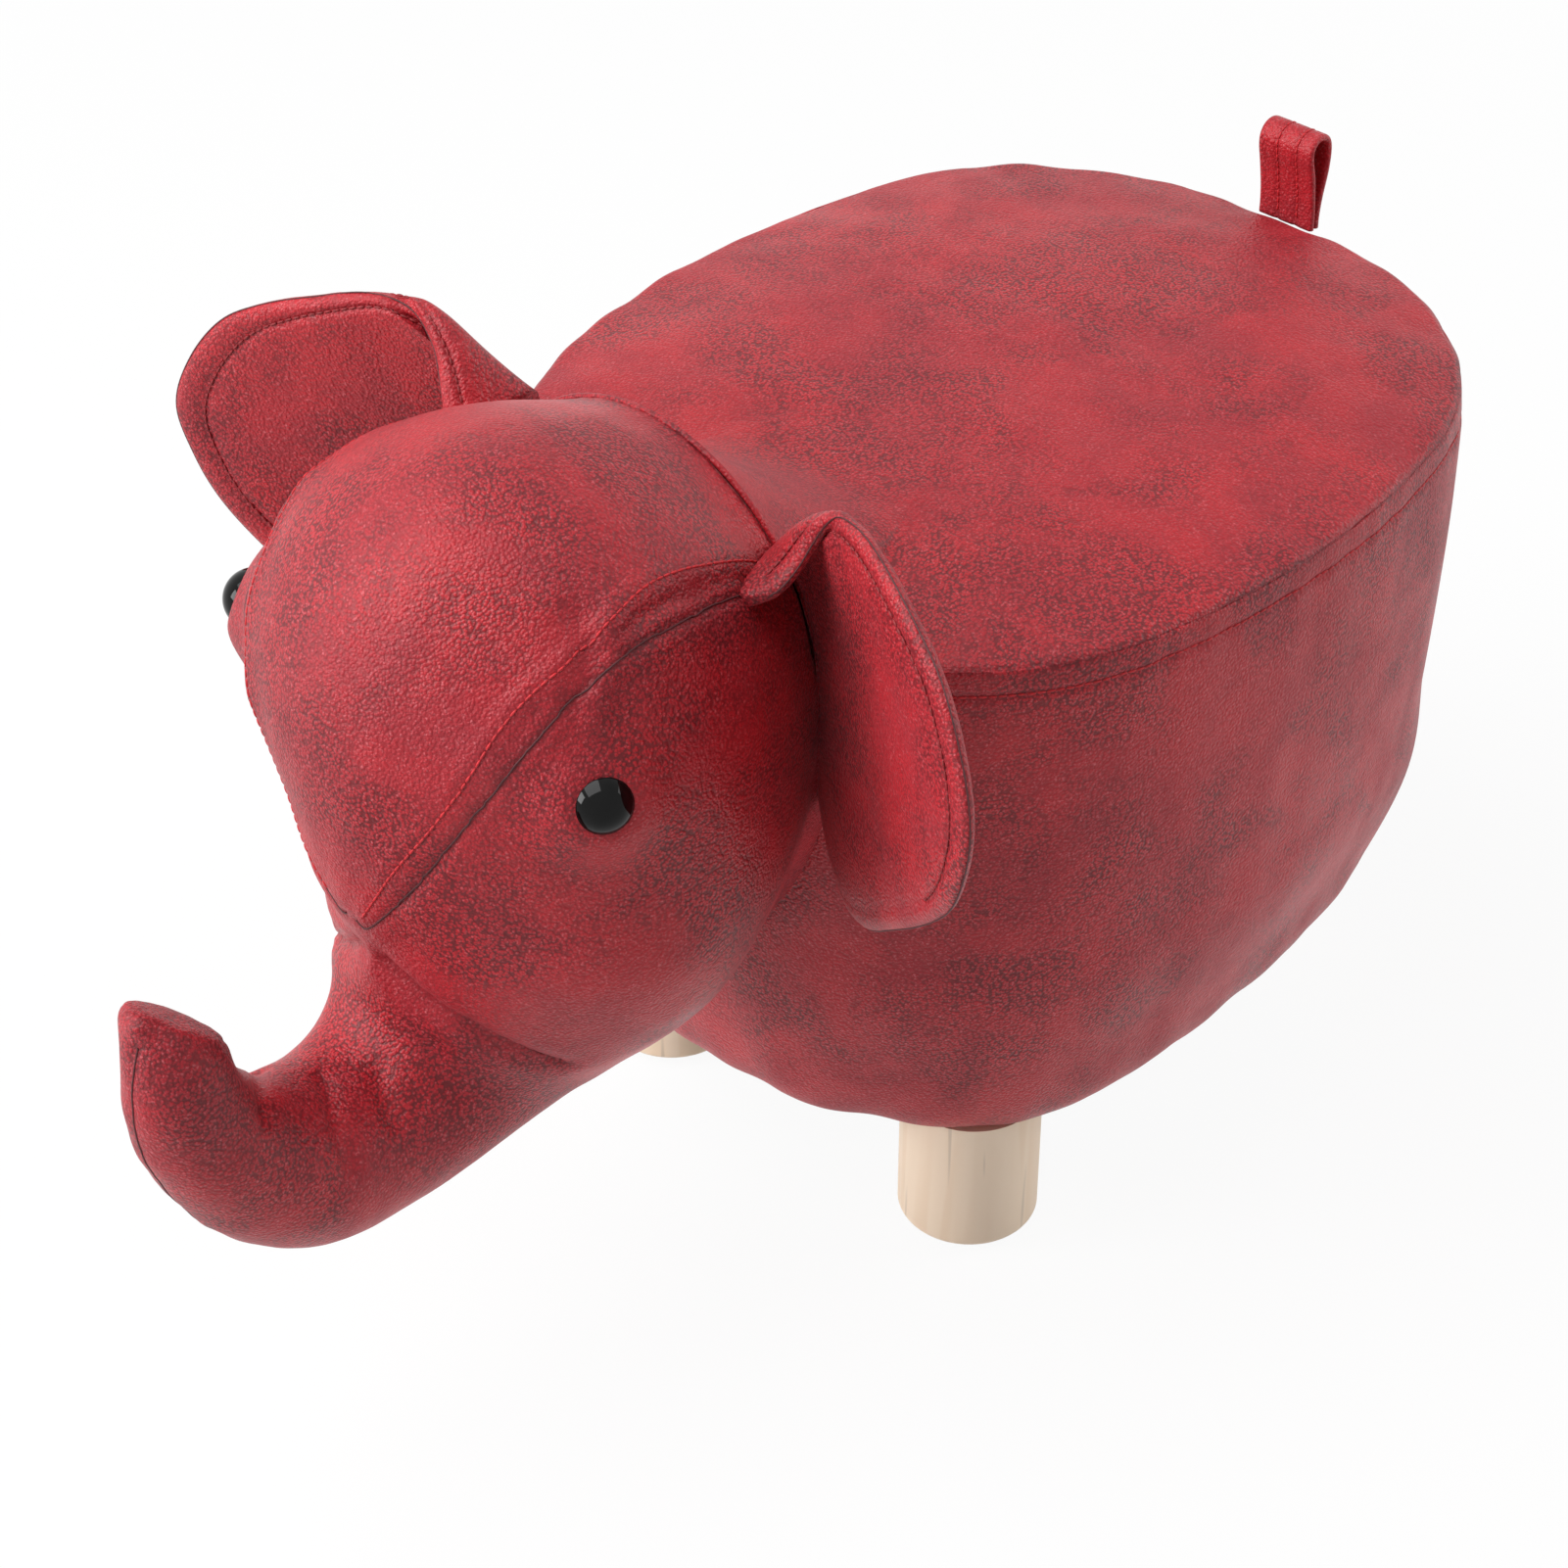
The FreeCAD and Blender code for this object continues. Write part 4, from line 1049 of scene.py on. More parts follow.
@dataclass
class BodyPlan:
    """Oval outline of the drum, as eight tangent arcs, in millimetres."""

    half_length: float = 169.0
    half_width: float = 144.0
    side_radius: float = 331.9
    end_radius: float = 311.9
    corner_radius: float = 116.06

    def outline(self, count: int) -> tuple[np.ndarray, np.ndarray]:
        """Walk once round the outline.

        Args:
            count: Number of evenly spaced points.

        Returns:
            Points and outward directions, rows of x and y about the seat's middle.
        """
        side_x = self.half_width - self.side_radius
        end_y = self.half_length - self.end_radius
        reach_side = self.side_radius - self.corner_radius
        reach_end = self.end_radius - self.corner_radius
        gap = math.hypot(side_x, end_y)
        along = (reach_side ** 2 - reach_end ** 2 + gap ** 2) / (2 * gap)
        across = math.sqrt(reach_side ** 2 - along ** 2)
        ux, uy = -side_x / gap, end_y / gap
        corner = (side_x + along * ux - across * uy, along * uy + across * ux)
        side_turn = math.atan2(corner[1], corner[0] - side_x)
        end_turn = math.atan2(corner[1] - end_y, corner[0])
        points = []
        normals = []
        quarter = [((side_x, 0.0), self.side_radius, 0.0, side_turn),
                   (corner, self.corner_radius, side_turn, end_turn),
                   ((0.0, end_y), self.end_radius, end_turn, math.pi / 2)]
        for centre, radius, start, stop in quarter:
            turn = np.linspace(start, stop, 200, endpoint=False)
            normals.append(np.stack([np.cos(turn), np.sin(turn)], 1))
            points.append(np.array(centre) + radius * normals[-1])
        point = np.concatenate(points)
        normal = np.concatenate(normals)
        flips = [(1, 1), (-1, 1), (-1, -1), (1, -1)]
        whole = []
        for index, flip in enumerate(flips):
            joined = np.concatenate([point, normal], 1) * np.array(flip * 2)
            whole.append(joined if index % 2 == 0 else joined[::-1])
        table = np.concatenate(whole + [whole[0][:1]])
        gone = lengths_along(table[:, :2])
        table = at_lengths(table, gone, np.linspace(0.0, gone[-1], count, endpoint=False))
        return table[:, :2], table[:, 2:]


@dataclass
class SeatCushion:
    """Crowned seat pad whose cover runs up the nape to the neck seam, in millimetres."""

    plan: BodyPlan
    seam_height: float = 281.6
    cover: float = 0.8
    crown: float = 12.0
    neck_reach: float = 174.0
    neck_half: float = 72.0
    neck_base: float = 280.2
    neck_rise: float = 71.8
    nape_share: float = 0.517
    nape_power: float = 1.6
    edge_roll: float = 1.1
    edge_width: float = 0.02
    board_height: float = 250.0
    lump: float = 1.7
    crease: float = 0.55
    columns: int = 420

    def border(self) -> np.ndarray:
        """Return the closed line of the seat seam and the neck arch about the seat's middle.

        Returns:
            Rows of x, y, z, evenly spaced.
        """
        oval, _ = self.plan.outline(1600)
        front = (oval[:, 1] < 0) & (np.abs(oval[:, 0]) < self.neck_half + 2)
        first = int(np.nonzero(front)[0][0])
        order = np.roll(np.arange(len(oval)), -first)
        kept = np.array([index for index in order if not front[index]])
        seat = np.column_stack([oval[kept], np.full(len(kept), self.seam_height)])
        turn = np.linspace(math.pi, 0.0, 160)
        arch = np.column_stack([self.neck_half * np.cos(turn), np.full(len(turn), -self.neck_reach),
                                self.neck_base + self.neck_rise * np.sin(turn)])
        closed = np.concatenate([arch, seat, arch[:1]])
        gone = lengths_along(closed)
        return at_lengths(closed, gone, np.linspace(0.0, gone[-1], self.columns, endpoint=False))

    def build(self, wardrobe: Wardrobe) -> bpy.types.Object:
        """Build and dress the cushion.

        Args:
            wardrobe: Materials of the object.

        Returns:
            The finished piece.
        """
        edge = self.border()
        level = self.seam_height + self.cover
        shares = np.concatenate([np.linspace(0.02, 0.88, 56), np.linspace(0.88, 1.0, 34)[1:]])
        rings = []
        for share in shares:
            flat = edge[:, :2] * share
            rise = (max(share - self.nape_share, 0.0) / (1 - self.nape_share)) ** self.nape_power
            height = level + self.crown * (1 - share ** 2.8) + (edge[:, 2] - level) * rise
            roll = max((share - 1 + self.edge_width) / self.edge_width, 0.0)
            height = height - self.edge_roll * roll ** 2
            rings.append(np.column_stack([flat, height]))
        for inset, drop in ((0.985, 6.0), (0.95, 14.0)):
            rings.append(np.column_stack([edge[:, :2] * inset, edge[:, 2] - drop]))
        rings.append(np.column_stack([edge[:, :2] * 0.9, np.full(len(edge), self.board_height)]))
        points = np.concatenate(rings) + SEAT_MIDDLE
        top = len(shares) * self.columns
        worn = np.linalg.norm(points[:top, :2] - SEAT_MIDDLE[:2], axis=1)
        ripple = self.lump * noise_at(points[:top] * np.array([1.0, 0.7, 1.0]), 62.0, 3.1)
        ripple += self.crease * noise_at(points[:top] * np.array([0.6, 1.0, 1.0]), 17.0, 9.4)
        points[:top, 2] += ripple * smooth_step(worn / 40.0 + 0.3)
        middle = len(points)
        floor = middle + 1
        crown = np.array([[0.0, 0.0, level + self.crown], [0.0, 0.0, self.board_height]]) + SEAT_MIDDLE
        crown[0, 2] = points[:self.columns, 2].mean()
        points = np.concatenate([points, crown])
        faces = ring_faces(len(rings), self.columns)
        faces += fan_faces(0, self.columns, middle, False)
        faces += fan_faces((len(rings) - 1) * self.columns, self.columns, floor, True)
        piece = mesh_object("seat_cushion", points, faces)
        rim = np.concatenate([edge, edge[:1]]) + SEAT_MIDDLE
        draw_in_seams(piece, [(rim - [0, 0, 1.0], SeamKind.SEAT_EDGE)])
        dress_cover(piece, wardrobe)
        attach(piece, Body.STOOL.value)
        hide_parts("seat_cover", "seat_foam", "neck_stuffing")
        return piece


@dataclass
class SidePadding:
    """Padded band round the drum, turned under at its lower edge, in millimetres."""

    plan: BodyPlan
    top: float = 280.2
    belly_height: float = 158.0
    bottom: float = 62.0
    belly_inset: float = 30.0
    cover_return: float = 14.0
    wall_inset: float = 33.0
    board_height: float = 246.0
    swell: float = 1.4
    taper: float = 1.0
    tuck: float = 2.0
    side_tuck: float = 4.9
    front_tuck: float = 3.6
    rear_fill: float = 4.4
    side_facing: tuple[float, float] = (4.0, 22.0)
    front_facing: tuple[float, float] = (-62.0, 18.0)
    rear_facing: tuple[float, float] = (45.0, 22.0)
    lump: float = 1.5
    streak: float = 0.5
    fold: float = 1.5
    hem_wave: float = 1.6
    hem_sag: float = 1.2
    edge_fade: float = 14.0
    second_row: float = 10.0
    columns: int = 520

    def profile(self) -> np.ndarray:
        """Return the section of the band: inset from the outline and height, from the top edge down.

        Returns:
            Rows of inset and height.
        """
        rows = [(2.5, self.top - 1.5), (0.9, self.top), (0.15, self.top - 0.8)]
        fall = self.top - self.belly_height
        for low in np.concatenate([np.linspace(2.0, 18.0, 17), np.linspace(22.0, fall, 34)]):
            share = low / fall
            groove = 0.55 * math.exp(-((low - self.second_row) / 1.5) ** 2)
            lean = self.taper * share - self.swell * math.sin(math.pi * min(share, 1.0)) ** 0.8
            rows.append((groove + lean, self.top - low))
        for turn in np.linspace(0.0, math.pi / 2, 34)[1:]:
            inset = self.taper + (self.belly_inset - self.taper) * (1 - math.cos(turn) ** 0.85)
            depth = (self.belly_height - self.bottom + self.hem_sag) * math.sin(turn) ** 0.92
            rows.append((inset, self.belly_height - depth))
        rows.append((self.belly_inset + 4.0, self.bottom + 0.1))
        rows.append((self.belly_inset + self.cover_return, self.bottom + 0.2))
        rows.append((self.belly_inset + self.cover_return, self.bottom + 1.0))
        rows.append((self.wall_inset, self.bottom + 1.1))
        rows.append((self.wall_inset, self.board_height))
        rows.append((10.0, self.board_height + 2.0))
        return np.array(rows)

    def build(self, wardrobe: Wardrobe) -> bpy.types.Object:
        """Build and dress the band.

        Args:
            wardrobe: Materials of the object.

        Returns:
            The finished piece.
        """
        oval, normal = self.plan.outline(self.columns)
        rows = self.profile()
        rings = []
        for inset, height in rows:
            rings.append(np.column_stack([oval - normal * inset, np.full(len(oval), height)]) + SEAT_MIDDLE)
        points = np.concatenate(rings)
        outward = np.tile(np.column_stack([normal, np.zeros(len(normal))]), (len(rows), 1))
        high = points[:, 2]
        shown = np.repeat(np.arange(len(rows)) < len(rows) - 4, len(oval)).astype(float)
        low_share = smooth_step((self.belly_height - high) / (self.belly_height - self.bottom))
        lump = self.lump * noise_at(points * np.array([1.0, 1.0, 0.6]), 85.0, 5.2)
        streak = self.streak * noise_at(points * np.array([1.0, 1.0, 0.22]), 16.0, 2.7)
        fold = self.fold * noise_at(points * np.array([1.0, 1.0, 0.35]), 24.0, 8.8) * low_share
        edge_fade = smooth_step((self.top - high) / self.edge_fade)
        facing = np.degrees(np.arctan2(outward[:, 1], np.abs(outward[:, 0])))
        waist = low_share * (1 - low_share ** 6)
        under = smooth_step(low_share / 0.75)
        drawn = self.side_tuck * bell(facing, *self.side_facing)
        drawn += self.front_tuck * bell(facing, *self.front_facing)
        full = self.rear_fill * bell(facing, *self.rear_facing) * 4 * low_share * (1 - low_share)
        push = (lump + streak) * edge_fade + fold + full - self.tuck * waist - drawn * under
        points += outward * (push * shown)[:, None]
        wave = self.hem_wave * noise_at(points * np.array([1.0, 1.0, 0.0]), 21.0, 4.4)
        points[:, 2] += wave * low_share ** 2 * shown
        faces = ring_faces(len(rows) + 1, len(oval))
        total = len(points)
        faces = [tuple(corner % total for corner in face) for face in faces]
        piece = mesh_object("side_padding", points, faces)
        draw_in_seams(piece, [(self.row_line(0.0), SeamKind.SIDE_ROW)])
        dress_cover(piece, wardrobe)
        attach(piece, Body.STOOL.value)
        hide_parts("side_cover", "side_foam")
        return piece

    def row_line(self, lift: float) -> np.ndarray:
        """Return the closed line of the second row of stitches, lifted off the outline.

        Args:
            lift: Distance outwards from the outline.

        Returns:
            Rows of x, y, z.
        """
        oval, normal = self.plan.outline(self.columns)
        line = np.column_stack([oval + normal * lift, np.full(len(oval), self.top - self.second_row)])
        return np.concatenate([line, line[:1]]) + SEAT_MIDDLE


@dataclass
class HeadForm:
    """Stuffed head with its curled trunk, in millimetres about the seat's middle."""

    camera: PhotoCamera
    neck_reach: float = 174.0
    neck_half: float = 72.0
    neck_top: float = 352.0
    length: float = 147.0
    half_width: float = 97.0
    top: float = 372.0
    brow: float = 286.0
    chin: float = 130.0
    trunk_low: float = 155.4
    trunk_root: float = 44.5
    trunk_run: float = 110.0
    trunk_dip: float = 13.5
    trunk_forward: float = 1.6
    trunk_curl: float = 66.0
    trunk_end: float = 9.5
    trunk_tip: float = 15.5
    skew: float = 8.5
    narrowed: float = 0.34
    far_cheek: float = 9.5
    near_jaw: float = 7.0
    cheek_place: tuple[float, float] = (-306.0, 190.0)
    cheek_spread: tuple[float, float] = (26.0, 20.0)
    jaw_place: tuple[float, float] = (-252.0, 168.0)
    jaw_spread: float = 24.0
    cheek_side: float = 22.0
    jaw_side: float = 40.0
    # Limits of the narrowed part of the face, each with the width of its fade
    face_start: tuple[float, float] = (268.0, 34.0)
    face_end: tuple[float, float] = (345.0, 20.0)
    face_top: tuple[float, float] = (294.0, 32.0)
    face_low: tuple[float, float] = (188.0, 30.0)
    squeeze: float = 0.1
    squeeze_height: float = 264.0
    stuffing_pressure: float = 70.0
    stuffing_cap: float = 4.0
    trunk_taper: float = 1.53
    trunk_lean: float = -6.0
    trunk_slant: float = 0.62
    voxel: float = 3.4
    columns: int = 96
    trunk_columns: int = 48
    neck_base: float = 280.2
    neck_turns: tuple[float, float] = (142.0, 38.0)
    lean_reach: float = 0.7
    lean_fade: float = 45.0
    stuffing_draw: float = 2.2
    lump: float = 1.3
    crease: float = 0.35
    eye_aim: tuple[float, float, float] = (78.0, -46.0, 30.0)
    eye_start: tuple[float, float, float] = (0.0, -230.0, 266.0)
    eye_reach: float = 27.0
    eye_fade: float = 17.0
    eye_seat: float = 0.9
    eye_flat: float = 10.0
    eye_round: float = 190.0
    eye_near: float = 20.0
    root_inset: float = 8.0
    root_height: float = 200.0
    root_reach: float = 62.0
    root_fade: float = 30.0
    seam_hold: float = 3.2
    neck_hold: float = 3.0
    stuffing_front: float = 350.0
    stuffing_fade: float = 30.0
    # Places across and down the picture that the seams, folds and wrinkles pass through
    panel_trace: tuple = ((375, 949), (416, 915), (457, 867), (498, 818), (539, 767), (580, 721),
                          (620, 684), (661, 655), (702, 632), (738, 614), (763, 606))
    topstitch_trace: tuple = ((372, 934), (401, 892), (437, 851), (472, 805), (508, 749), (544, 708),
                              (585, 673), (620, 637), (656, 601), (692, 583), (733, 575), (773, 573),
                              (800, 576))
    ridge_trace: tuple = ((628, 640), (622, 670), (617, 700), (605, 738))
    dent_trace: tuple = ((590, 630), (602, 660), (600, 690), (590, 722))
    wrinkle_traces: tuple = (((331, 1098), (343, 1140), (357, 1188)), ((386, 1085), (394, 1112), (407, 1145)),
                             ((440, 1075), (452, 1100), (470, 1122)), ((262, 1092), (268, 1112), (272, 1136)))
    knot_spot: tuple = (142, 1048)
    fold_trace: tuple = ((386, 989), (426, 1025), (467, 1050), (508, 1071), (544, 1086), (574, 1094))

    def egg_ring(self, share: float, half_count: int) -> np.ndarray:
        """Return one upright section of the head.

        Args:
            share: Place from the neck, 0, to the brow, 1.
            half_count: Points on each half.

        Returns:
            Rows of x, y, z, once round from the crown.
        """
        half = self.swell(share, 0.45, self.neck_half, self.half_width, 0.0) * (1 - 0.17 * share ** 3.5)
        top = self.swell(share, 0.5, self.neck_top, self.top, self.brow)
        low = self.swell(share, 0.62, self.chin, self.chin, self.brow)
        top_radius = 0.98 * half
        low_radius = (0.4 + 0.44 * share ** 4) * half
        top_mid = top - top_radius
        low_mid = low + low_radius
        span = 2 * (top_mid - low_mid)
        tilt = 2 * (top_radius - low_radius) / span
        level = (top_mid ** 2 - low_mid ** 2 - top_radius ** 2 + low_radius ** 2) / span
        offset = level - top_mid
        first = tilt ** 2
        second = 2 * (tilt * offset - half + top_radius)
        third = half ** 2 + offset ** 2 - top_radius ** 2
        root = math.sqrt(second ** 2 - 4 * first * third)
        side = (-second - root) / (2 * first)
        if side < half:
            side = (-second + root) / (2 * first)
        side_x = half - side
        side_z = level + tilt * side
        upper = math.atan2(top_mid - side_z, -side_x)
        lower = math.atan2(low_mid - side_z, -side_x)
        turns = [(0.0, top_mid, top_radius, math.pi / 2, upper), (side_x, side_z, side, upper, lower),
                 (0.0, low_mid, low_radius, lower, -math.pi / 2)]
        runs = []
        for mid_x, mid_z, radius, start, stop in turns:
            turn = np.linspace(start, stop, 60, endpoint=False)
            runs.append(np.column_stack([mid_x + radius * np.cos(turn), mid_z + radius * np.sin(turn)]))
        line = np.concatenate(runs + [np.array([[0.0, low]])])
        gone = lengths_along(line)
        x, z = at_lengths(line, gone, np.linspace(0.0, gone[-1], half_count + 1)).T
        x = np.concatenate([x, -x[-2:0:-1]])
        z = np.concatenate([z, z[-2:0:-1]])
        y = np.full(len(x), -self.neck_reach - self.length * share)
        return np.column_stack([x, y, z])

    @staticmethod
    def swell(share: float, peak: float, start: float, full: float, end: float) -> float:
        """Rise from start to full at the peak, then fall round to the end like an ellipse.

        Args:
            share: Place from 0 to 1.
            peak: Share at which the value is full.
            start: Value at 0.
            full: Value at the peak.
            end: Value at 1.

        Returns:
            The value at the share.
        """
        if share < peak:
            return start + (full - start) * math.sin(math.pi / 2 * share / peak)
        fall = (share - peak) / (1 - peak)
        return end + (full - end) * math.sqrt(1 - fall ** 2)

    def trunk_station(self, share: float) -> tuple[np.ndarray, np.ndarray, float]:
        """Return the middle, direction and radius of the trunk at one share of its length.

        Args:
            share: Place from the root, 0, to the tip, 1.

        Returns:
            The middle, the direction and the radius.
        """
        dip = math.radians(self.trunk_dip)
        bend = self.trunk_curl * (math.pi / 2 + dip - math.radians(self.trunk_lean))
        gone = share * (self.trunk_run + bend + self.trunk_end)
        radius = self.trunk_root - (self.trunk_root - self.trunk_tip) * share ** self.trunk_taper
        turn = -dip + min(max(gone - self.trunk_run, 0.0), bend) / self.trunk_curl
        heading = np.array([0.0, -math.cos(turn), math.sin(turn)])
        curl_y = -self.neck_reach - self.length - self.trunk_forward
        spot = np.array([0.0, curl_y - self.trunk_curl * math.sin(turn),
                         self.trunk_low + self.trunk_curl - self.trunk_curl * math.cos(turn)])
        beyond = min(gone - self.trunk_run, 0.0) + max(gone - self.trunk_run - bend, 0.0)
        return spot + heading * beyond, heading, radius

    def rough_shape(self) -> tuple[np.ndarray, list[tuple[int, ...]]]:
        """Return the points and faces of the head and the trunk, still crossing each other.

        Returns:
            Rows of x, y, z in the shared frame and the corner indices of each face.
        """
        points, faces = tube_shape(self.head_rings())
        trunk_points, trunk_faces = tube_shape(self.trunk_rings(), len(points))
        return self.leaned(np.concatenate([points, trunk_points])) + SEAT_MIDDLE, faces + trunk_faces

    def head_rings(self) -> list[np.ndarray]:
        """Build the sections of the head.

        Returns:
            Rings of points from inside the neck to the brow.
        """
        rings = []
        neck = self.egg_ring(0.0, self.columns // 2)
        for depth, size in ((30.0, 0.9), (26.0, 0.95), (12.0, 0.985), (3.0, 0.995)):
            middle = np.array([0.0, 0.0, 240.0])
            back = (neck - middle) * np.array([size, 1.0, size]) + middle
            below = smooth_step((288.0 - back[:, 2]) / 14.0)
            back[:, 1] += np.minimum(depth, 2.0 + depth * below)
            rings.append(back)
        for share in np.concatenate([np.linspace(0.0, 0.9, 31), [0.93, 0.955, 0.975, 0.988, 0.996, 0.9993]]):
            rings.append(self.egg_ring(float(share), self.columns // 2))
        return rings

    def trunk_rings(self) -> list[np.ndarray]:
        """Build the sections of the trunk.

        Returns:
            Rings of points from inside the head to the rounded end.
        """
        tube = []
        turn = np.linspace(0.0, 2 * math.pi, self.trunk_columns, endpoint=False)
        stations = [(share, 1.0, 0.0) for share in np.linspace(0.0, 1.0, 60)]
        for angle in np.linspace(0.0, 80.0, 7)[1:]:
            lean = math.radians(angle)
            stations.append((1.0, math.cos(lean) ** 0.6, 2.6 * math.sin(lean)))
        for share, size, ahead in stations:
            middle, heading, radius = self.trunk_station(float(share))
            across = np.array([1.0, 0.0, 0.0])
            upward = np.cross(across, heading)
            spread = np.outer(np.cos(turn), across) + np.outer(np.sin(turn), upward)
            cut = float(smooth_step(np.array((share - 0.75) / 0.25)))
            slant = self.trunk_slant * radius * size * np.sin(turn) * cut
            tube.append(middle + np.outer(ahead + slant, heading) + spread * radius * size)
        return tube

    def lean_share(self, points: np.ndarray) -> np.ndarray:
        """Return how far points follow the lean, from 0 at the neck and the crown to 1 at the trunk."""
        ahead = smooth_step((-self.neck_reach - points[:, 1]) / (self.lean_reach * self.length))
        return ahead * smooth_step((self.squeeze_height - points[:, 2]) / self.lean_fade)

    def leaned(self, points: np.ndarray) -> np.ndarray:
        """Lean the front of the head and the trunk a little to the left, as the stuffing lies.

        Args:
            points: Rows of x, y, z about the seat's middle.

        Returns:
            The moved points.
        """
        moved = points.copy()
        share = self.lean_share(points)
        moved[:, 0] += self.skew * share
        across, depth, high = points.T
        start, end, upper, lower = self.face_start, self.face_end, self.face_top, self.face_low
        face = smooth_step((-depth - start[0]) / start[1]) * smooth_step((depth + end[0]) / end[1])
        face *= smooth_step((upper[0] - high) / upper[1]) * smooth_step((high - lower[0]) / lower[1])
        moved[:, 0] -= np.minimum(across, 0.0) * (self.squeeze * share + self.narrowed * face)
        cheek = bell(depth, self.cheek_place[0], self.cheek_spread[0])
        cheek = cheek * bell(high, self.cheek_place[1], self.cheek_spread[1])
        moved[:, 0] -= self.far_cheek * cheek * np.clip(-across / self.cheek_side, 0.0, 1.0)
        jaw = bell(depth, self.jaw_place[0], self.jaw_spread) * bell(high, self.jaw_place[1], self.jaw_spread)
        moved[:, 0] -= self.near_jaw * jaw * np.clip(across / self.jaw_side, 0.0, 1.0)
        return moved

    def build(self, wardrobe: Wardrobe) -> tuple[bpy.types.Object, ...]:
        """Build and dress the head, the painted shadow lines of its seams, its topstitching and its neck
        seam.

        Args:
            wardrobe: Materials of the object.

        Returns:
            The head, the seam shadow lines, the stitches and the neck seam.
        """
        points, faces = self.rough_shape()
        rough = mesh_object("head_rough", points, faces)
        layer = rough.modifiers.new("skin", "REMESH")
        layer.mode = "VOXEL"
        layer.voxel_size = self.voxel * MM
        piece = baked_copy(rough, "head_base")
        mesh = piece.data
        relax(mesh, 6, 0.5 - 0.42 * self.near_tip(mesh_points(mesh)))
        self.soften_trunk_root(mesh)
        tree = surface_of(piece)
        panel = self.camera.project_onto(tree, list(self.panel_trace))
        tip = panel[:1] * np.array([0.0, 1.0, 1.0]) + np.array([self.skew, 0.0, 0.0])
        panel = flowing_line(np.concatenate([tip, panel]), 2.0)
        inner = self.drawn(tree, self.topstitch_trace)
        fold = self.drawn(tree, self.fold_trace)
        ridge = self.drawn(tree, self.ridge_trace)
        dent = self.drawn(tree, self.dent_trace)
        wrinkles = [self.drawn(tree, trace) for trace in self.wrinkle_traces]
        cap = self.tip_ring(tree)
        knot = self.camera.project_onto(tree, [self.knot_spot])
        knot = np.concatenate([knot - [1.2, 0.0, 0.8], knot, knot + [1.2, 0.0, 0.8]])
        panels = [panel, self.far_side(tree, panel)]
        inners = [inner, self.far_side(tree, inner)]
        folds = [fold, self.far_side(tree, fold)]
        middle = self.middle_line(tree)
        piece = self.stuffed(piece, panels + inners + folds + [middle, cap])
        finer = piece.modifiers.new("finer", "SUBSURF")
        finer.levels = 1
        finer.render_levels = 1
        piece = baked_copy(piece, "head_and_trunk")
        seams = [(line, SeamKind.HEAD_PANEL) for line in panels]
        seams += [(line, SeamKind.HEAD_ROW) for line in inners]
        seams += [(line, SeamKind.TRUNK_FOLD) for line in folds]
        seams += [(line, SeamKind.TRUNK_WRINKLE) for line in wrinkles]
        seams += [(cap, SeamKind.TRUNK_END), (knot, SeamKind.TRUNK_KNOT), (ridge, SeamKind.BROW_RIDGE)]
        seams += [(dent, SeamKind.BROW_DENT), (middle, SeamKind.TRUNK_MIDDLE)]
        draw_in_seams(piece, seams)
        self.wrinkle(piece.data)
        for node, hand in (("left_eye", 1.0), ("right_eye", -1.0)):
            self.seat_eye(piece.data, node, hand)
        tree = surface_of(piece)
        dress_cover(piece, wardrobe)
        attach(piece, Body.STOOL.value)
        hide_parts("forehead_panel", "left_head_panel", "right_head_panel", "head_stuffing",
                    "left_trunk_panel", "right_trunk_panel", "trunk_tip_panel", "trunk_stuffing")
        # Dark cords along the seams: painted shadow in their grooves
        dark = [snapped(tree, line, 0.05) for line in (*panels, middle)]
        lines = seam_row("head_seam_lines", dark, wardrobe)
        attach(lines, Body.STOOL.value)
        rows = [snapped(tree, line, 0.1) for line in inners]
        stitches = stitch_row("head_topstitching", rows, wardrobe.thread)
        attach(stitches, Body.STOOL.value)
        neck = sewn_piece("neck_seam", [self.neck_line()], PathTree.cord(), wardrobe.cover, radius=0.0011)
        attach(neck, Body.STOOL.value)
        return piece, lines, stitches, neck

    def stuffed(self, piece: bpy.types.Object, held: list[np.ndarray]) -> bpy.types.Object:
        """Draw the cover in between its seams and let the stuffing press it out again.

        Args:
            piece: Head and trunk, used up.
            held: Sewn lines that stay where they are.

        Returns:
            The stuffed head and trunk.
        """
        mesh = piece.data
        points = mesh_points(mesh)
        sewn = near_lines(points, held, self.seam_hold)
        sewn |= points[:, 1] > SEAT_MIDDLE[1] - self.neck_reach - self.neck_hold
        sewn |= self.near_tip(points) > 0.6
        behind = points[:, 1] - SEAT_MIDDLE[1] + self.stuffing_front
        shrink = self.stuffing_draw * smooth_step(behind / self.stuffing_fade)
        set_mesh_points(mesh, points - mesh_normals(mesh) * (shrink * ~sewn)[:, None])
        relax(mesh, 3, np.where(sewn, 0.0, 0.5))
        return puffed(piece, "head_stuffed", sewn, self.stuffing_pressure, self.stuffing_cap)

    def neck_line(self) -> np.ndarray:
        """Return the arch where the head is sewn to the nape.

        Returns:
            Rows of x, y, z in the shared frame.
        """
        turn = np.linspace(math.radians(self.neck_turns[0]), math.radians(self.neck_turns[1]), 90)
        rise = self.neck_top - self.neck_base
        return np.column_stack([self.neck_half * np.cos(turn), np.full(len(turn), -self.neck_reach - 0.4),
                                self.neck_base + rise * np.sin(turn)]) + SEAT_MIDDLE

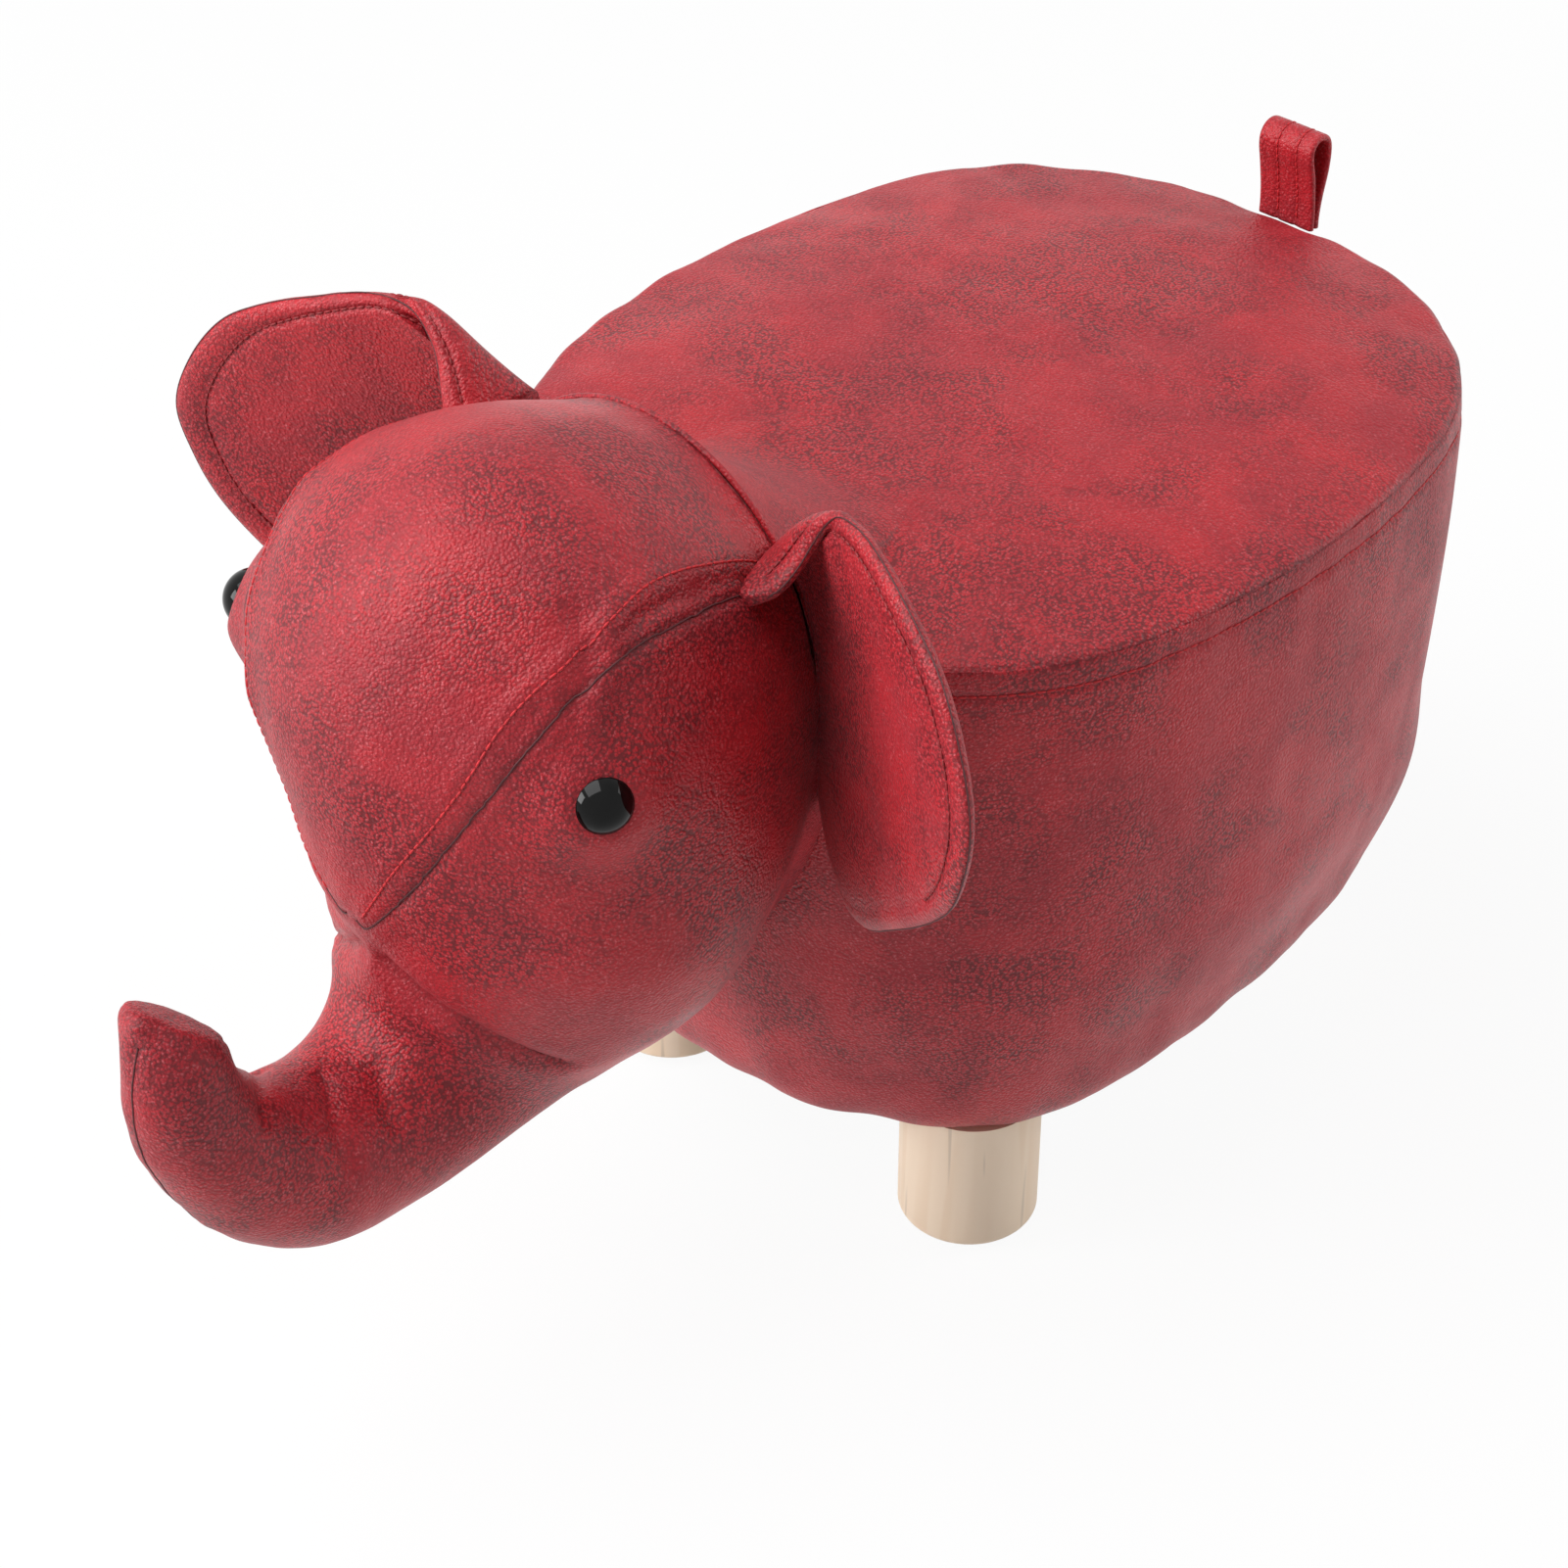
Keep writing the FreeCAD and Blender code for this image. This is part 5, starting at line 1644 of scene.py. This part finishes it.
    def tip_ring(self, tree: BVHTree) -> np.ndarray:
        """Return the closed seam round the end of the trunk.

        Args:
            tree: Search tree of the head's surface.

        Returns:
            Rows of x, y, z on the surface.
        """
        middle, heading, radius = self.trunk_station(1.0)
        turn = np.linspace(0.0, 2 * math.pi, 49)
        across = np.array([1.0, 0.0, 0.0])
        spread = np.outer(np.cos(turn), across) + np.outer(np.sin(turn), np.cross(across, heading))
        ring = middle + spread * radius + np.outer(self.trunk_slant * radius * np.sin(turn), heading)
        return snapped(tree, self.leaned(ring) + SEAT_MIDDLE, 0.0)

    def near_tip(self, points: np.ndarray) -> np.ndarray:
        """Return how near points are to the end of the trunk, from 0 to 1.

        Args:
            points: Rows of x, y, z in the shared frame.

        Returns:
            One number for each point.
        """
        middle, _, radius = self.trunk_station(1.0)
        tip = middle + np.array([self.skew, 0.0, 0.0]) + SEAT_MIDDLE
        return smooth_step((radius + 12.0 - np.linalg.norm(points - tip, axis=1)) / 10.0)

    def drawn(self, tree: BVHTree, trace: tuple) -> np.ndarray:
        """Return a smooth line on the head behind places in the picture."""
        return flowing_line(self.camera.project_onto(tree, list(trace)), 2.0)

    def far_side(self, tree: BVHTree, line: np.ndarray) -> np.ndarray:
        """Return a line's mirror image, laid on the other side of the leaning head.

        Args:
            tree: Search tree of the head's surface.
            line: Rows of x, y, z.

        Returns:
            The other line.
        """
        other = mirrored(line)
        other[:, 0] += 2 * self.skew * self.lean_share(line - SEAT_MIDDLE)
        return snapped(tree, other, 0.0)

    def seat_eye(self, mesh: bpy.types.Mesh, node: str, hand: float) -> None:
        """Draw the cover in under an eye, so that the eye's rim rests on it.

        Args:
            mesh: Mesh of the head and the trunk.
            node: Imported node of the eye.
            hand: 1 for the left eye, -1 for the right one.
        """
        aim = np.array(self.eye_aim) * np.array([hand, 1.0, 1.0])
        aim /= np.linalg.norm(aim)
        start = np.array(self.eye_start) + SEAT_MIDDLE
        eye = mesh_points(frame["nodes"][node].data) - start
        reach = eye @ aim
        wide = np.linalg.norm(eye - np.outer(reach, aim), axis=1)
        rim = reach[wide > 0.97 * wide.max()].mean()
        points = mesh_points(mesh)
        away = points - start
        reach = away @ aim
        wide = np.linalg.norm(away - np.outer(reach, aim), axis=1)
        wanted = rim + self.eye_seat - np.maximum(wide ** 2 - self.eye_flat ** 2, 0.0) / self.eye_round
        weight = smooth_step((self.eye_reach - wide) / self.eye_fade) * (reach > self.eye_near)
        set_mesh_points(mesh, points + np.outer((wanted - reach) * weight, aim))

    def soften_trunk_root(self, mesh: bpy.types.Mesh) -> None:
        """Blend the top of the trunk smoothly into the brow.

        Args:
            mesh: Mesh of the head and the trunk.
        """
        points = mesh_points(mesh) - SEAT_MIDDLE
        centre = np.array([0.0, -self.neck_reach - self.length + self.root_inset, self.root_height])
        gap = np.linalg.norm((points - centre) * np.array([0.8, 1.0, 1.0]), axis=1)
        weights = 0.6 * smooth_step((self.root_reach - gap) / self.root_fade)
        relax(mesh, 30, weights)

    def middle_line(self, tree: BVHTree) -> np.ndarray:
        """Return the seam down the front of the trunk and back under the chin.

        Args:
            tree: Search tree of the head's surface.

        Returns:
            Points of the line in millimetres.
        """
        rows = []
        for share in np.linspace(1.0, 0.2, 60):
            middle, heading, radius = self.trunk_station(float(share))
            rows.append(middle + np.cross([1.0, 0.0, 0.0], heading) * radius)
        line = snapped(tree, np.array(rows) + SEAT_MIDDLE, 0.0)
        line[:, 0] = self.skew
        return flowing_line(line, 2.0)

    def wrinkle(self, mesh: bpy.types.Mesh) -> None:
        """Add the soft unevenness of a stuffed cover.

        Args:
            mesh: Mesh of the head and the trunk.
        """
        points = mesh_points(mesh)
        lump = self.lump * noise_at(points, 46.0, 1.7) + self.crease * noise_at(points, 14.0, 6.3)
        set_mesh_points(mesh, points + mesh_normals(mesh) * lump[:, None])


@dataclass
class EarForm:
    """Padded two-layer ear, cupped and folded forward at its upper root, in millimetres."""

    side: Side
    sweep: float = 24.0
    root: tuple[float, float, float] = (62.0, -172.0, 0.0)
    right_fold: tuple = ((17, 332, -22), (21, 342, -15), (26, 351, -8), (36, 359, -2), (52, 362, 0),
                         (72, 359, 0))
    left_fold: tuple = ((24, 330, -27), (28, 334, -20), (27.5, 340, -13), (27, 347, -8), (29, 354, -5),
                        (33, 359.5, -2.5), (40, 361.5, -1), (52, 362, 0), (72, 359, 0))
    rim: tuple = ((90, 352, 0), (106, 341, 0), (118, 323, 0), (124, 303, 0), (121, 284, 0), (112, 266, 0),
                  (95, 248, 0), (75, 231, 0), (52, 213, 2), (34, 207, 4), (20, 212, 7), (12, 222, 9),
                  (4, 236, 11))
    right_root: tuple = ((13, 331, -23), (6, 331, -13), (-3, 330, -2), (-3, 313, 5))
    left_root: tuple = ((20, 328, -28), (9, 327, -15), (-3, 323, -2), (-3, 313, 5))
    foot: tuple = ((-1, 290, 9), (0, 262, 10), (2, 236, 11))
    cup: float = 2.5
    hood: float = 8.0
    rows: int = 150
    steps: int = 44
    short_row: float = 0.6
    roll_half: float = 2.5
    roll_reach: float = 5.0
    pad_half: float = 2.8
    pad_reach: float = 13.0
    lump: float = 1.2
    bend_start: tuple[float, float, float] = (10.0, 285.0, 5.0)
    bend_end: tuple[float, float, float] = (43.0, 285.0, 24.0)

    def frame_axes(self) -> tuple[np.ndarray, np.ndarray]:
        """Return the ear's outward and backward directions on the left side.

        Returns:
            Two unit directions.
        """
        turn = math.radians(self.sweep)
        outward = np.array([math.cos(turn), -math.sin(turn), 0.0])
        return outward, np.array([math.sin(turn), math.cos(turn), 0.0])

    def to_frame(self, local: np.ndarray) -> np.ndarray:
        """Turn rows of reach, height and depth into places in the shared frame.

        Args:
            local: Rows of reach, height and depth.

        Returns:
            Rows of x, y, z.
        """
        outward, backward = self.frame_axes()
        places = (np.array(self.root) + np.outer(local[:, 0], outward) + np.outer(local[:, 2], backward)
                  + np.outer(local[:, 1], [0.0, 0.0, 1.0]) + SEAT_MIDDLE)
        return places if self.side is Side.LEFT else mirrored(places)

    @property
    def roll_width(self) -> float:
        """Return the width of the sewn roll along the rim."""
        return 8.0 if self.side is Side.LEFT else 11.0

    @staticmethod
    def spread(line: np.ndarray, shares: np.ndarray) -> np.ndarray:
        """Return the points at shares of a line's length."""
        gone = lengths_along(line)
        return at_lengths(line, gone / gone[-1], shares)

    @staticmethod
    def blurred(grid: np.ndarray, rounds: int) -> np.ndarray:
        """Return a grid of directions, each evened out with its neighbours.

        Args:
            grid: Directions by row and step.
            rounds: Number of passes.

        Returns:
            The evened grid.
        """
        for _ in range(rounds):
            for axis in (0, 1):
                wide = np.concatenate([grid.take([0], axis), grid, grid.take([-1], axis)], axis)
                count = grid.shape[axis]
                low, high = wide.take(range(count), axis), wide.take(range(2, count + 2), axis)
                grid = 0.25 * low + 0.5 * grid + 0.25 * high
        return grid

    def layers(self) -> tuple[np.ndarray, np.ndarray, np.ndarray]:
        """Return the grid between the root and the rim, its backward directions and its gap to the rim.

        Returns:
            Places, directions and gaps by row and step.
        """
        left = self.side is Side.LEFT
        controls = np.array((self.left_fold if left else self.right_fold) + self.rim, float)
        roots = np.array((self.left_root if left else self.right_root) + self.foot, float)
        # The right ear is wider at its middle and lower along its top
        if not left:
            controls[:, 0] += 3.0 * bell(controls[:, 1], 305.0, 22.0) * (controls[:, 0] > 60)
            controls[:, 1] -= 4.0 * bell(controls[:, 0], 76.0, 26.0) * (controls[:, 1] > 330)
        along = np.linspace(0.0, 1.0, self.rows)
        rim = self.spread(flowing_line(controls, 1.0), along)
        held = np.interp(along, [0.0, 0.12, 0.3, 1.0], [0.0, 0.3, 0.48, 1.0]) if left else along
        foot = self.spread(flowing_line(roots, 1.0), held)
        share = 1 - (1 - np.linspace(0.0, 1.0, self.steps)) ** 1.35
        grid = foot[:, None, :] + (rim - foot)[:, None, :] * share[None, :, None]
        belly = np.sin(math.pi * share)[None, :] * np.sin(math.pi * along)[:, None]
        grid[:, :, 2] += (0.0 if left else self.cup) * belly
        crest = bell(along, 0.18, 0.11)[:, None] * np.sin(math.pi * share)[None, :] ** 1.1
        grid[:, :, 1] += (2.0 if left else self.hood) * crest
        sheet = grid.reshape(-1, 3)
        sheet[:, 2] += self.lump * noise_at(sheet, 38.0, 4.1 if left else 7.7)
        grid = sheet.reshape(self.rows, self.steps, 3)
        run = np.gradient(grid, axis=0)
        out = np.gradient(grid, axis=1)
        normal = np.cross(run, out)
        normal /= np.maximum(np.linalg.norm(normal, axis=2, keepdims=True), 1e-9)
        normal *= np.sign(normal[self.rows // 2, self.steps // 2, 2])
        normal = self.blurred(normal, 8)
        normal /= np.maximum(np.linalg.norm(normal, axis=2, keepdims=True), 1e-9)
        length = np.linalg.norm(rim - foot, axis=1)
        gap_out = (1 - share)[None, :] * length[:, None]
        return grid, normal, gap_out

    def thickness(self, gap: np.ndarray) -> np.ndarray:
        """Return half the ear's thickness at gaps from its rim: a sewn roll, then a soft pad.

        Args:
            gap: Distances from the rim.

        Returns:
            Half the thickness at each.
        """
        edge = self.roll_half * np.sqrt(1 - (1 - np.clip(gap / self.roll_reach, 0.0, 1.0)) ** 2)
        sewn = (0.25 if self.side is Side.LEFT else 0.6) * bell(gap, self.roll_width, 2.2)
        return edge - sewn + self.pad_half * (1 - np.exp(-(gap / self.pad_reach) ** 1.5))

    def build(self, wardrobe: Wardrobe) -> tuple[bpy.types.Object, bpy.types.Object, bpy.types.Object]:
        """Build and dress the ear, the painted shadow line of its rim seam and its topstitching.

        Args:
            wardrobe: Materials of the object.

        Returns:
            The ear, the shadow line of its rim seam and its stitches.
        """
        grid, normal, gap = self.layers()
        half = self.thickness(gap)[:, :, None]
        front = (grid - normal * half).reshape(-1, 3)
        back = (grid + normal * half).reshape(-1, 3)
        count = self.rows * self.steps
        points = self.to_frame(np.concatenate([front, back]))
        faces = []
        for row in range(self.rows - 1):
            for step in range(self.steps - 1):
                a = row * self.steps + step
                b, c, d = a + 1, a + self.steps + 1, a + self.steps
                faces.append((a, b, c, d))
                faces.append((count + d, count + c, count + b, count + a))
        edge = [row * self.steps for row in range(self.rows)]
        far = [row * self.steps + self.steps - 1 for row in range(self.rows)]
        first = list(range(self.steps))
        last = [(self.rows - 1) * self.steps + step for step in range(self.steps)]
        for line in (edge, far[::-1], first[::-1], last):
            for here, there in zip(line, line[1:]):
                faces.append((here, there, count + there, count + here))
        hand = self.side.name.lower()
        piece = mesh_object(f"{hand}_ear", points, faces)
        row_lines = self.row_lines(grid, normal, gap, half)
        draw_in_seams(piece, [(line, SeamKind.EAR_ROW) for line in row_lines])
        dress_cover(piece, wardrobe)
        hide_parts(f"{hand}_ear_front", f"{hand}_ear_back", f"{hand}_ear_wadding")
        stitches = stitch_row(f"{hand}_ear_topstitching", row_lines, wardrobe.ear_thread)
        # Dark cord along the rim seam: painted shadow in its groove
        seam = seam_row(f"{hand}_ear_rim_seam", [self.to_frame(grid[3:-3, -1, :])], wardrobe, 0.0003)
        for made in (piece, stitches, seam):
            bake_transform(made)
        return piece, seam, stitches

    def row_lines(self, grid: np.ndarray, normal: np.ndarray, gap: np.ndarray,
                  half: np.ndarray) -> list[np.ndarray]:
        """Return the topstitch lines on both faces of the ear.

        Args:
            grid: Places by row and step.
            normal: Backward directions of the grid.
            gap: Distances from the rim.
            half: Half the thickness.

        Returns:
            The line on the front and on the back.
        """
        lines = []
        for sign in (-1.0, 1.0):
            face = grid + sign * normal * half
            rows = []
            short = sign < 0 and self.side is Side.LEFT
            for row in range(6, round(self.short_row * self.rows) if short else self.rows - 6):
                if gap[row, 0] < self.roll_width + 4.0:
                    continue
                places = [np.interp(-self.roll_width, -gap[row], face[row, :, axis]) for axis in range(3)]
                rows.append(places)
            line = np.array(rows)
            for _ in range(6):
                line[1:-1] = 0.25 * line[:-2] + 0.5 * line[1:-1] + 0.25 * line[2:]
            lines.append(self.to_frame(line))
        return lines


@dataclass
class TailStrap:
    """Folded strap loop that stands on the rear seam, in millimetres."""

    width: float = 25.0
    height: float = 36.0
    thickness: float = 2.7
    root: tuple[float, float, float] = (0.0, 173.1, 283.0)
    row_places: tuple[float, float] = (-3.6, 5.2)
    sway: float = 0.9

    def path(self) -> np.ndarray:
        """Return the middle line of the strap in depth and height, from its front foot to its rear foot."""
        controls = np.array([(-1.5, -3.0), (-1.5, 2.0), (-2.2, 10.0), (-3.8, 20.0), (-5.4, 27.0),
                             (-5.2, 31.5), (-2.6, 34.3), (1.2, 34.8), (4.4, 33.0), (5.6, 29.0),
                             (4.6, 20.0), (2.6, 10.0), (1.5, 2.0), (1.5, -3.0)])
        return flowing_line(np.column_stack([np.zeros(len(controls)), controls]), 0.8)

    def build(self, wardrobe: Wardrobe) -> tuple[bpy.types.Object, bpy.types.Object]:
        """Build and dress the strap and its stitches.

        Args:
            wardrobe: Materials of the object.

        Returns:
            The strap and its stitches.
        """
        line = self.path()
        run = np.gradient(line, axis=0)
        run /= np.linalg.norm(run, axis=1, keepdims=True)
        outward = np.cross([1.0, 0.0, 0.0], run)
        flat = self.section()
        rings = []
        for place, direction in zip(line, outward):
            rings.append(place + np.outer(flat[:, 0], [1.0, 0.0, 0.0]) + np.outer(flat[:, 1], direction))
        points, faces = tube_shape(rings)
        points += np.array(self.root) + SEAT_MIDDLE
        sway = smooth_step((points[:, 2] - self.root[2]) / self.height)
        points[:, 0] += self.sway * noise_at(points, 20.0, 3.3) * sway
        piece = mesh_object("tail_strap", points, faces)
        rows = []
        for across in self.row_places:
            for sign in (-1.0, 1.0):
                row = line + outward * sign * self.thickness / 2 + np.array([across, 0.0, 0.0])
                rows.append(row + np.array(self.root) + SEAT_MIDDLE)
        draw_in_seams(piece, [(row, SeamKind.STRAP_ROW) for row in rows])
        dress_cover(piece, wardrobe)
        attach(piece, Body.TAIL.value)
        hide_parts("tail_loop")
        tree = surface_of(piece)
        laid = [snapped(tree, row[6:-6], 0.05) for row in rows]
        stitches = stitch_row("tail_stitching", laid, wardrobe.thread)
        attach(stitches, Body.TAIL.value)
        return piece, stitches

    def section(self) -> np.ndarray:
        """Return the strap's flat section with rounded edges, rows of across and out.

        Returns:
            Points once round the section.
        """
        half = self.width / 2
        thick = self.thickness / 2
        across = np.linspace(-half + thick, half - thick, 26)
        turn = np.linspace(math.pi / 2, -math.pi / 2, 7)[1:-1]
        upper = np.column_stack([across, np.full(len(across), thick)])
        right = np.column_stack([half - thick + thick * np.cos(turn), thick * np.sin(turn)])
        return np.concatenate([upper, right, -upper, -right])


@dataclass
class DustSheet:
    """Thin cloth stretched and stapled under the frame, in millimetres."""

    plan: BodyPlan
    inset: float = 34.3
    low: float = 61.1
    thickness: float = 0.7
    columns: int = 160
    rings: int = 26

    def build(self, wardrobe: Wardrobe) -> bpy.types.Object:
        """Build and dress the cloth.

        Args:
            wardrobe: Materials of the object.

        Returns:
            The finished piece.
        """
        oval, normal = self.plan.outline(self.columns)
        edge = oval - normal * self.inset
        layers = []
        for height in (self.low, self.low + self.thickness):
            rows = [np.column_stack([edge * share, np.full(self.columns, height)])
                    for share in np.linspace(0.02, 1.0, self.rings)]
            layers.append(np.concatenate(rows + [np.array([[0.0, 0.0, height]])]) + SEAT_MIDDLE)
        points = np.concatenate(layers)
        points[:, 2] += 0.12 * noise_at(points * np.array([1.0, 1.0, 0.0]), 30.0, 2.2)
        size = len(layers[0])
        last = (self.rings - 1) * self.columns
        faces = []
        for start in (0, size):
            faces += ring_faces(self.rings, self.columns, start)
            faces += fan_faces(start, self.columns, start + size - 1, False)
        for index in range(self.columns):
            following = (index + 1) % self.columns
            faces.append((last + index, last + following, size + last + following, size + last + index))
        piece = mesh_object("dust_sheet", points, faces)
        piece.data.materials.append(wardrobe.nodes["dust_cover"])
        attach(piece, Body.STOOL.value)
        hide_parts("dust_cover")
        return piece


@dataclass
class Studio:
    """Plain pale floor and soft light."""

    floor_size: float = 14.0
    floor_white: float = 0.93
    key_power: float = 44.0
    front_power: float = 36.0
    side_power: float = 24.0
    world_level: float = 0.17

    def build(self) -> None:
        """Build the floor, the world and the lamps."""
        self.build_floor()
        self.build_world()
        self.lamp("key_light", (-0.55, -0.8, 2.1), (0.0, 0.0, 0.25), 1.7, self.key_power)
        self.lamp("front_light", (-1.3, -1.9, 1.0), (0.0, -0.1, 0.2), 1.0, self.front_power)
        self.lamp("side_light", (1.3, 1.9, 1.1), (0.0, 0.1, 0.15), 1.5, self.side_power)

    def build_floor(self) -> None:
        """Build the floor, white to the camera, with the object's shadow kept."""
        half = self.floor_size / 2
        mesh = bpy.data.meshes.new("floor")
        corners = [(-half, -half, 0.0), (half, -half, 0.0), (half, half, 0.0), (-half, half, 0.0)]
        mesh.from_pydata(corners, [], [(0, 1, 2, 3)])
        floor = bpy.data.objects.new("floor", mesh)
        bpy.context.scene.collection.objects.link(floor)
        made, maker, shader = start_material("white_floor")
        made.node_tree.nodes.remove(shader)
        matt = maker.add("ShaderNodeBsdfDiffuse", {"Color": (0.9, 0.9, 0.9, 1.0)})
        white = maker.add("ShaderNodeEmission", {"Color": (1.0, 1.0, 1.0, 1.0), "Strength": 1.0})
        place = maker.add("ShaderNodeTexCoord").outputs["Object"]
        away = maker.add("ShaderNodeVectorMath", {0: place}, operation="LENGTH").outputs["Value"]
        white_share = maker.raised(maker.band(away, 0.6, 2.4), 1.0 - self.floor_white, self.floor_white)
        share = maker.math("MULTIPLY", self.seen(maker), white_share)
        both = maker.add("ShaderNodeMixShader", {0: share, 1: matt.outputs[0], 2: white.outputs[0]})
        maker.join(both.outputs[0], made.node_tree.nodes["Material Output"], "Surface")
        mesh.materials.append(made)

    @staticmethod
    def seen(maker: NodeMaker) -> bpy.types.NodeSocket:
        """Return a value of 1 for what the camera, a reflection or glass shows.

        Args:
            maker: Node maker of the tree.

        Returns:
            The output socket of the value.
        """
        path = maker.add("ShaderNodeLightPath").outputs
        first = maker.math("MAXIMUM", path["Is Camera Ray"], path["Is Glossy Ray"])
        return maker.math("MAXIMUM", first, path["Is Transmission Ray"])

    def build_world(self) -> None:
        """Build an even white surround, full white to the camera."""
        world = bpy.data.worlds.new("white_surround")
        bpy.context.scene.world = world
        world.use_nodes = True
        maker = NodeMaker(world.node_tree)
        sky = world.node_tree.nodes["Background"]
        sky.inputs["Color"].default_value = (1.0, 1.0, 1.0, 1.0)
        level = maker.raised(self.seen(maker), 1.0 - self.world_level, self.world_level)
        maker.join(level, sky, "Strength")

    @staticmethod
    def lamp(name: str, place: tuple, aim: tuple, size: float, power: float) -> None:
        """Add one soft square lamp.

        Args:
            name: Name of the lamp.
            place: Where it hangs, in metres.
            aim: Point that it faces.
            size: Length of its side in metres.
            power: Power in watts.
        """
        data = bpy.data.lights.new(name, "AREA")
        data.size = size
        data.energy = power
        lamp = bpy.data.objects.new(name, data)
        lamp.location = place
        lamp.rotation_euler = (Vector(aim) - Vector(place)).to_track_quat("-Z", "Y").to_euler()
        bpy.context.scene.collection.objects.link(lamp)


def main() -> None:
    """Build the dressed footstool piece by piece."""
    logging.basicConfig(level=logging.INFO, format="%(name)s: %(message)s")
    bpy.context.scene.view_settings.view_transform = "Standard"
    camera = PhotoCamera()
    camera.build()
    Studio().build()
    wardrobe = Wardrobe()
    wardrobe.dress_nodes()
    plan = BodyPlan()
    made: list[bpy.types.Object] = [SeatCushion(plan).build(wardrobe)]
    padding = SidePadding(plan)
    side = padding.build(wardrobe)
    made.append(side)
    tree = surface_of(side)
    row = stitch_row("side_topstitching", [snapped(tree, padding.row_line(0.0), 0.1)], wardrobe.thread)
    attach(row, Body.STOOL.value)
    made.append(row)
    made.extend(HeadForm(camera).build(wardrobe))
    for hand in Side:
        made.extend(EarForm(hand).build(wardrobe))
    made.extend(TailStrap().build(wardrobe))
    made.append(DustSheet(plan).build(wardrobe))
    for piece in made:
        LOG.info("%s: %d faces", piece.name, len(piece.data.polygons))


if __name__ == "__main__":
    main()
